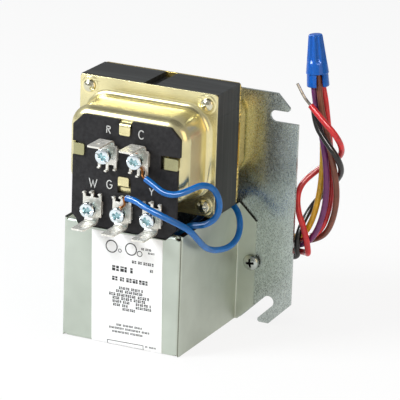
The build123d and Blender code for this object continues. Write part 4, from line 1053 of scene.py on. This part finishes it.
# Rows of print: height up from the label's middle, height of the row, and spans across, in millimetres
ROWS = [
    (19.8, 1.0, [(7.0, 8.6), (9.0, 12.1)]),
    (18.3, 0.8, [(10.3, 13.5)]),
    (13.2, 1.3, [(2.5, 5.0), (5.5, 7.6), (8.1, 13.2)]),
    (10.3, 1.2, [(11.3, 13.0)]),
    (9.05, 2.4, [(-7.2, 0.9), (1.7, 3.2)]),
    (4.35, 1.9, [(-7.2, -4.0), (-3.3, -0.9), (-0.2, 10.7)]),
    (0.3, 1.2, [(-3.8, 1.5), (2.2, 6.6), (7.2, 8.1)]),
    (-1.25, 1.2, [(-5.2, -1.4), (-0.8, 8.1)]),
    (-2.95, 1.3, [(-8.6, -5.4), (-4.8, 4.8), (5.5, 11.2)]),
    (-4.55, 1.3, [(-6.9, -3.2), (-2.6, 2.8), (3.5, 9.3)]),
    (-6.15, 1.2, [(-6.9, -2.4), (-1.8, 1.8), (4.5, 10.6), (11.3, 12.0)]),
    (-7.75, 1.2, [(-6.6, -2.8), (-2.2, 0.7), (4.5, 12.2)]),
    (-9.4, 1.2, [(-2.0, 4.5)]),
    (-17.0, 0.9, [(-4.9, -2.3), (-1.7, 3.4), (4.0, 7.7)]),
    (-18.6, 0.9, [(-8.5, -1.2), (-0.5, 6.9), (7.6, 11.4)]),
    (-20.3, 0.9, [(-7.0, 1.4), (2.0, 8.2)]),
    (-25.05, 0.7, [(9.3, 10.6), (11.2, 14.6)]),
]
# The printed box's four lines: left, right, low and high
FRAME_LINES = [(-9.5, 8.4, -24.9, -24.6), (-9.5, 8.4, -27.1, -26.75), (-9.5, -9.2, -26.75, -24.9),
               (8.1, 8.4, -26.75, -24.9)]
# Width of a block as a share of its step, and the gap between its lower and upper part as shares of the row
BLOCKS = [(0.78, 0.06, 0.16), (0.66, -0.12, 0.02), (0.84, 0.1, 0.24), (0.55, 0.0, 0.06), (0.8, -0.2, -0.06)]
# Printed rings: place across and up, radius and width
RINGS = [(-7.5, 18.8, 2.95, 0.5), (-3.4, 17.4, 0.85, 0.3), (1.98, 18.85, 2.9, 0.5), (6.2, 17.4, 1.35, 0.35)]


class FANCENTER_OT_label(bpy.types.Operator):
    """Lays the label on the cover, over its lower fold, with rows of plain blocks for print"""
    bl_idname = "fan_center.label"
    bl_label = "Label"

    def execute(self, context):
        across = np.linspace(-LABEL["half_width"], LABEL["half_width"], 8)
        up = np.concatenate([np.linspace(*LABEL["flat"], 12), np.linspace(*LABEL["bent"], 14)])
        slab = self.slab(across, up, 0.0, LABEL["thickness"])
        sheet = mesh_piece("front_label_sheet", *slab, FINISHES["label_paper"])
        smooth_bends(sheet)
        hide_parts("front_label")
        ink = paper("label_ink", settings("finish").ink)
        points, faces = gather(self.blocks() + self.rings())
        obj = mesh_piece("front_label_print", points, faces, ink, smooth=False)
        return {"FINISHED"}

    def on_label(self, across, up, lift):
        """A point by its place on the label, turned about the label's middle; below the cover's flat
        front it follows the fold's quarter circle."""
        turn, fold = LABEL["turn"], LABEL["fold"]
        low, _ = box_mm("relay_cover")
        x = LABEL["x"] + across * math.cos(turn) - up * math.sin(turn)
        z = LABEL["z"] + across * math.sin(turn) + up * math.cos(turn)
        middle = low[2] + fold
        bend = np.maximum(middle - z, 0) / fold
        reach = fold + lift
        curved = bend > 0
        y = low[1] + fold - reach * np.where(curved, np.cos(bend), 1)
        return np.stack([x, y, np.where(curved, middle - reach * np.sin(bend), z)], axis=-1)

    def slab(self, across, up, low, high):
        """A closed sheet between two lifts over a grid of places on the label."""
        grid_across, grid_up = np.meshgrid(across, up)
        rows, columns = grid_across.shape
        top = self.on_label(grid_across, grid_up, high).reshape(-1, 3)
        bottom = self.on_label(grid_across, grid_up, low).reshape(-1, 3)
        count = len(top)
        faces = [face[::-1] for face in grid_faces(rows, columns, close_columns=False)]
        faces += grid_faces(rows, columns, count, close_columns=False)
        rim = [*range(columns), *range(2 * columns - 1, count, columns),
               *range(count - 2, count - columns - 1, -1), *range(count - 2 * columns, 0, -columns)]
        faces += [[one, two, two + count, one + count] for one, two in zip(rim, rim[1:] + rim[:1])]
        return np.concatenate([top, bottom]), faces

    def blocks(self):
        """Each span as a row of small upright blocks, with the box's four lines at the foot."""
        made = [self.slab([left, right], np.linspace(high, low, 8), *INK)
                for left, right, low, high in FRAME_LINES]
        for up, height, spans in ROWS:
            for left, right in spans:
                count = max(1, round((right - left) / (0.8 * height)))
                step = (right - left) / count
                for index in range(count):
                    start = left + index * step
                    wide, low, high = BLOCKS[index % len(BLOCKS)]
                    reach = [start, start + wide * step]
                    made.append(self.slab(reach, [up + 0.5 * height, up + high * height], *INK))
                    made.append(self.slab(reach, [up + low * height, up - 0.5 * height], *INK))
        return made

    def rings(self):
        """Plain printed rings as closed bands."""
        turn = np.linspace(0, 2 * np.pi, 48, endpoint=False)
        made = []
        for across, up, radius, width in RINGS:
            rows = []
            inner = radius - width
            for reach, lift in ((inner, INK[0]), (inner, INK[1]), (radius, INK[1]), (radius, INK[0])):
                rows.append(self.on_label(across + reach * np.cos(turn), up + reach * np.sin(turn), lift))
            made.append((np.concatenate(rows + rows[:1]), grid_faces(5, 48)))
        return made


# Stage

# The point that the camera looks at, in millimetres, and half the floor's side, in metres
LOOK_AT, FLOOR_HALF = (27.57, -41.5, 12.83), 4.0


class FANCENTER_OT_stage(bpy.types.Operator):
    """Sets the floor, the soft studio light and the camera"""
    bl_idname = "fan_center.stage"
    bl_label = "Stage"

    def execute(self, context):
        self.floor()
        self.world()
        self.lamps()
        self.camera()
        context.scene.view_settings.view_transform = "Standard"
        return {"FINISHED"}

    def floor(self):
        """A wide pale sheet under the object, white to the camera apart from the object's shadow and
        bright to shiny faces."""
        low, half = CAD_BOX[0], FLOOR_HALF
        mesh = bpy.data.meshes.new("floor")
        corners = [(x * half, y * half, low[2]) for x, y in ((-1, -1), (1, -1), (1, 1), (-1, 1))]
        mesh.from_pydata(corners, [], [(0, 1, 2, 3)])
        material, tree, shader, _ = finish("pale_floor", "#f7f7f6", 0.0, 0.8)
        glow = add_node(tree, "ShaderNodeEmission", {"Color": (1, 1, 1, 1), "Strength": 1.0})
        path = add_node(tree, "ShaderNodeLightPath").outputs
        shine = add_node(tree, MATH, {0: path["Is Glossy Ray"], 1: 0.6}, operation="MULTIPLY")
        share = add_node(tree, MATH, {0: path["Is Camera Ray"], 1: 0.85, 2: shine}, operation="MULTIPLY_ADD")
        mixed = add_node(tree, "ShaderNodeMixShader", {0: share, 1: shader, 2: glow})
        tree.links.new(mixed.outputs["Shader"], tree.nodes["Material Output"].inputs["Surface"])
        mesh.materials.append(material)
        new_object("floor", mesh)

    def world(self):
        """Soft light that falls off towards the ground. Shiny faces see a bright wall under a dark ceiling,
        which draws dark lines along the pressings' folds; the camera sees white."""
        world = bpy.data.worlds.new("studio")
        bpy.context.scene.world = world
        world.use_nodes = True
        tree = world.node_tree
        back = tree.nodes["Background"]
        way = add_node(tree, "ShaderNodeTexCoord").outputs["Generated"]
        up = add_node(tree, "ShaderNodeSeparateXYZ", {"Vector": way}).outputs["Z"]
        height = add_node(tree, "ShaderNodeMapRange", {"Value": up, "From Min": -1.0})
        ramp = add_node(tree, "ShaderNodeValToRGB", {"Fac": height})
        set_stops(ramp, [(0.42, "#5c5c5a"), (0.8, "#bebebe")])
        path = add_node(tree, "ShaderNodeLightPath").outputs
        seen = path["Is Camera Ray"]
        ceiling = add_node(tree, "ShaderNodeMapRange", {
            "Value": up, "From Min": 0.7, "From Max": 0.93, "To Min": 0.85, "To Max": 0.08})
        soft = add_node(tree, "ShaderNodeMix", {
            "Factor": path["Is Glossy Ray"], "A": ramp, "B": ceiling}, data_type="RGBA")
        colour = add_node(tree, "ShaderNodeMix", {
            "Factor": seen, "A": soft, "B": (1, 1, 1, 1)}, data_type="RGBA")
        power = add_node(tree, "ShaderNodeMapRange", {
            "Value": seen, "To Min": settings("stage").world, "To Max": 1.0})
        tree.links.new(colour.outputs["Result"], back.inputs["Color"])
        tree.links.new(power.outputs["Result"], back.inputs["Strength"])

    def lamps(self):
        """A cool key lamp from the upper left front, a weak warm one from the right, one above that shiny
        faces don't mirror, and two long ones that only the plastic mirrors."""
        target = Vector((0, -0.03, 0.01))
        key = settings("stage").key_power
        plastic = bpy.data.collections.new("mirrors_long_lamps")
        for name in (*(node + "_insulation" for node in WIRES), "wire_nut_shell"):
            plastic.objects.link(bpy.data.objects[name])
        for name, place, size, power, colour in (
                ("key", (-0.7, -0.7, 0.7), (0.45, 0.45), key, "#f4faff"),
                ("fill", (0.9, -0.5, 0.35), (0.7, 0.7), key * 0.2, "#ffe4bc"),
                ("top", (0.1, 0.0, 0.95), (0.7, 0.7), key * 0.24, "#ffffff"),
                ("long_front", (0.1, -0.95, 0.66), (1.4, 0.25), key * 2, "#ffffff"),
                ("long_left", (-0.95, -0.15, 0.66), (1.4, 0.25), key * 2, "#ffffff")):
            lamp = bpy.data.lights.new(name, "AREA")
            lamp.shape = "RECTANGLE"
            lamp.size, lamp.size_y = size
            lamp.energy = power
            lamp.color = linear(colour)[:3]
            obj = new_object(name, lamp)
            obj.visible_glossy = name != "top"
            if name.startswith("long"):
                obj.visible_diffuse = False
                obj.light_linking.receiver_collection = plastic
            obj.location = place
            obj.rotation_euler = (target - Vector(place)).to_track_quat("-Z", "Y").to_euler()

    def camera(self):
        """The photograph's view: a long lens turned round the point that it looks at."""
        stage = settings("stage")
        around, up, roll = stage.azimuth, stage.elevation, stage.roll
        back = Vector((math.sin(around) * math.cos(up), -math.cos(around) * math.cos(up), math.sin(up)))
        right = Vector((0, 0, 1)).cross(back).normalized()
        over = back.cross(right)
        turned = right * math.cos(roll) + over * math.sin(roll)
        over = over * math.cos(roll) - right * math.sin(roll)
        target = Vector(LOOK_AT) * MM
        camera = bpy.data.cameras.new("camera")
        camera.lens = stage.lens
        camera.clip_end = 20
        obj = new_object("camera", camera)
        place = Matrix((turned, over, back)).transposed().to_4x4()
        place.translation = target + back * stage.distance
        obj.matrix_world = place
        bpy.context.scene.camera = obj


class FANCENTER_PT_panel(bpy.types.Panel):
    """Lists the steps and the settings"""
    bl_idname = "FANCENTER_PT_panel"
    bl_label = "Fan center"
    bl_space_type = "VIEW_3D"
    bl_region_type = "UI"
    bl_category = "Fan center"

    def draw(self, context):
        for operator in OPERATORS:
            self.layout.operator(operator.bl_idname)
        for name in GROUPS:
            group = settings(name)
            for key in group.__annotations__:
                self.layout.prop(group, key)


OPERATORS = (FANCENTER_OT_finishes, FANCENTER_OT_bells, FANCENTER_OT_fasteners, FANCENTER_OT_connector,
             FANCENTER_OT_wires, FANCENTER_OT_lettering, FANCENTER_OT_label, FANCENTER_OT_stage)
GROUPS = {"wires": WireSettings, "finish": FinishSettings, "stage": StageSettings}


def register():
    """Registers the classes and hangs the settings on the scene."""
    for group in GROUPS.values():
        bpy.utils.register_class(group)
    for name, group in GROUPS.items():
        setattr(bpy.types.Scene, "fan_center_" + name, PointerProperty(type=group))
    for item in (*OPERATORS, FANCENTER_PT_panel):
        bpy.utils.register_class(item)


def unregister():
    """Takes away what register added."""
    for item in (FANCENTER_PT_panel, *reversed(OPERATORS)):
        bpy.utils.unregister_class(item)
    for name, group in GROUPS.items():
        delattr(bpy.types.Scene, "fan_center_" + name)
        bpy.utils.unregister_class(group)


def main():
    """Runs every step in order."""
    register()
    for operator in OPERATORS:
        family, name = operator.bl_idname.split(".")
        getattr(getattr(bpy.ops, family), name)()


if __name__ == "__main__":
    main()
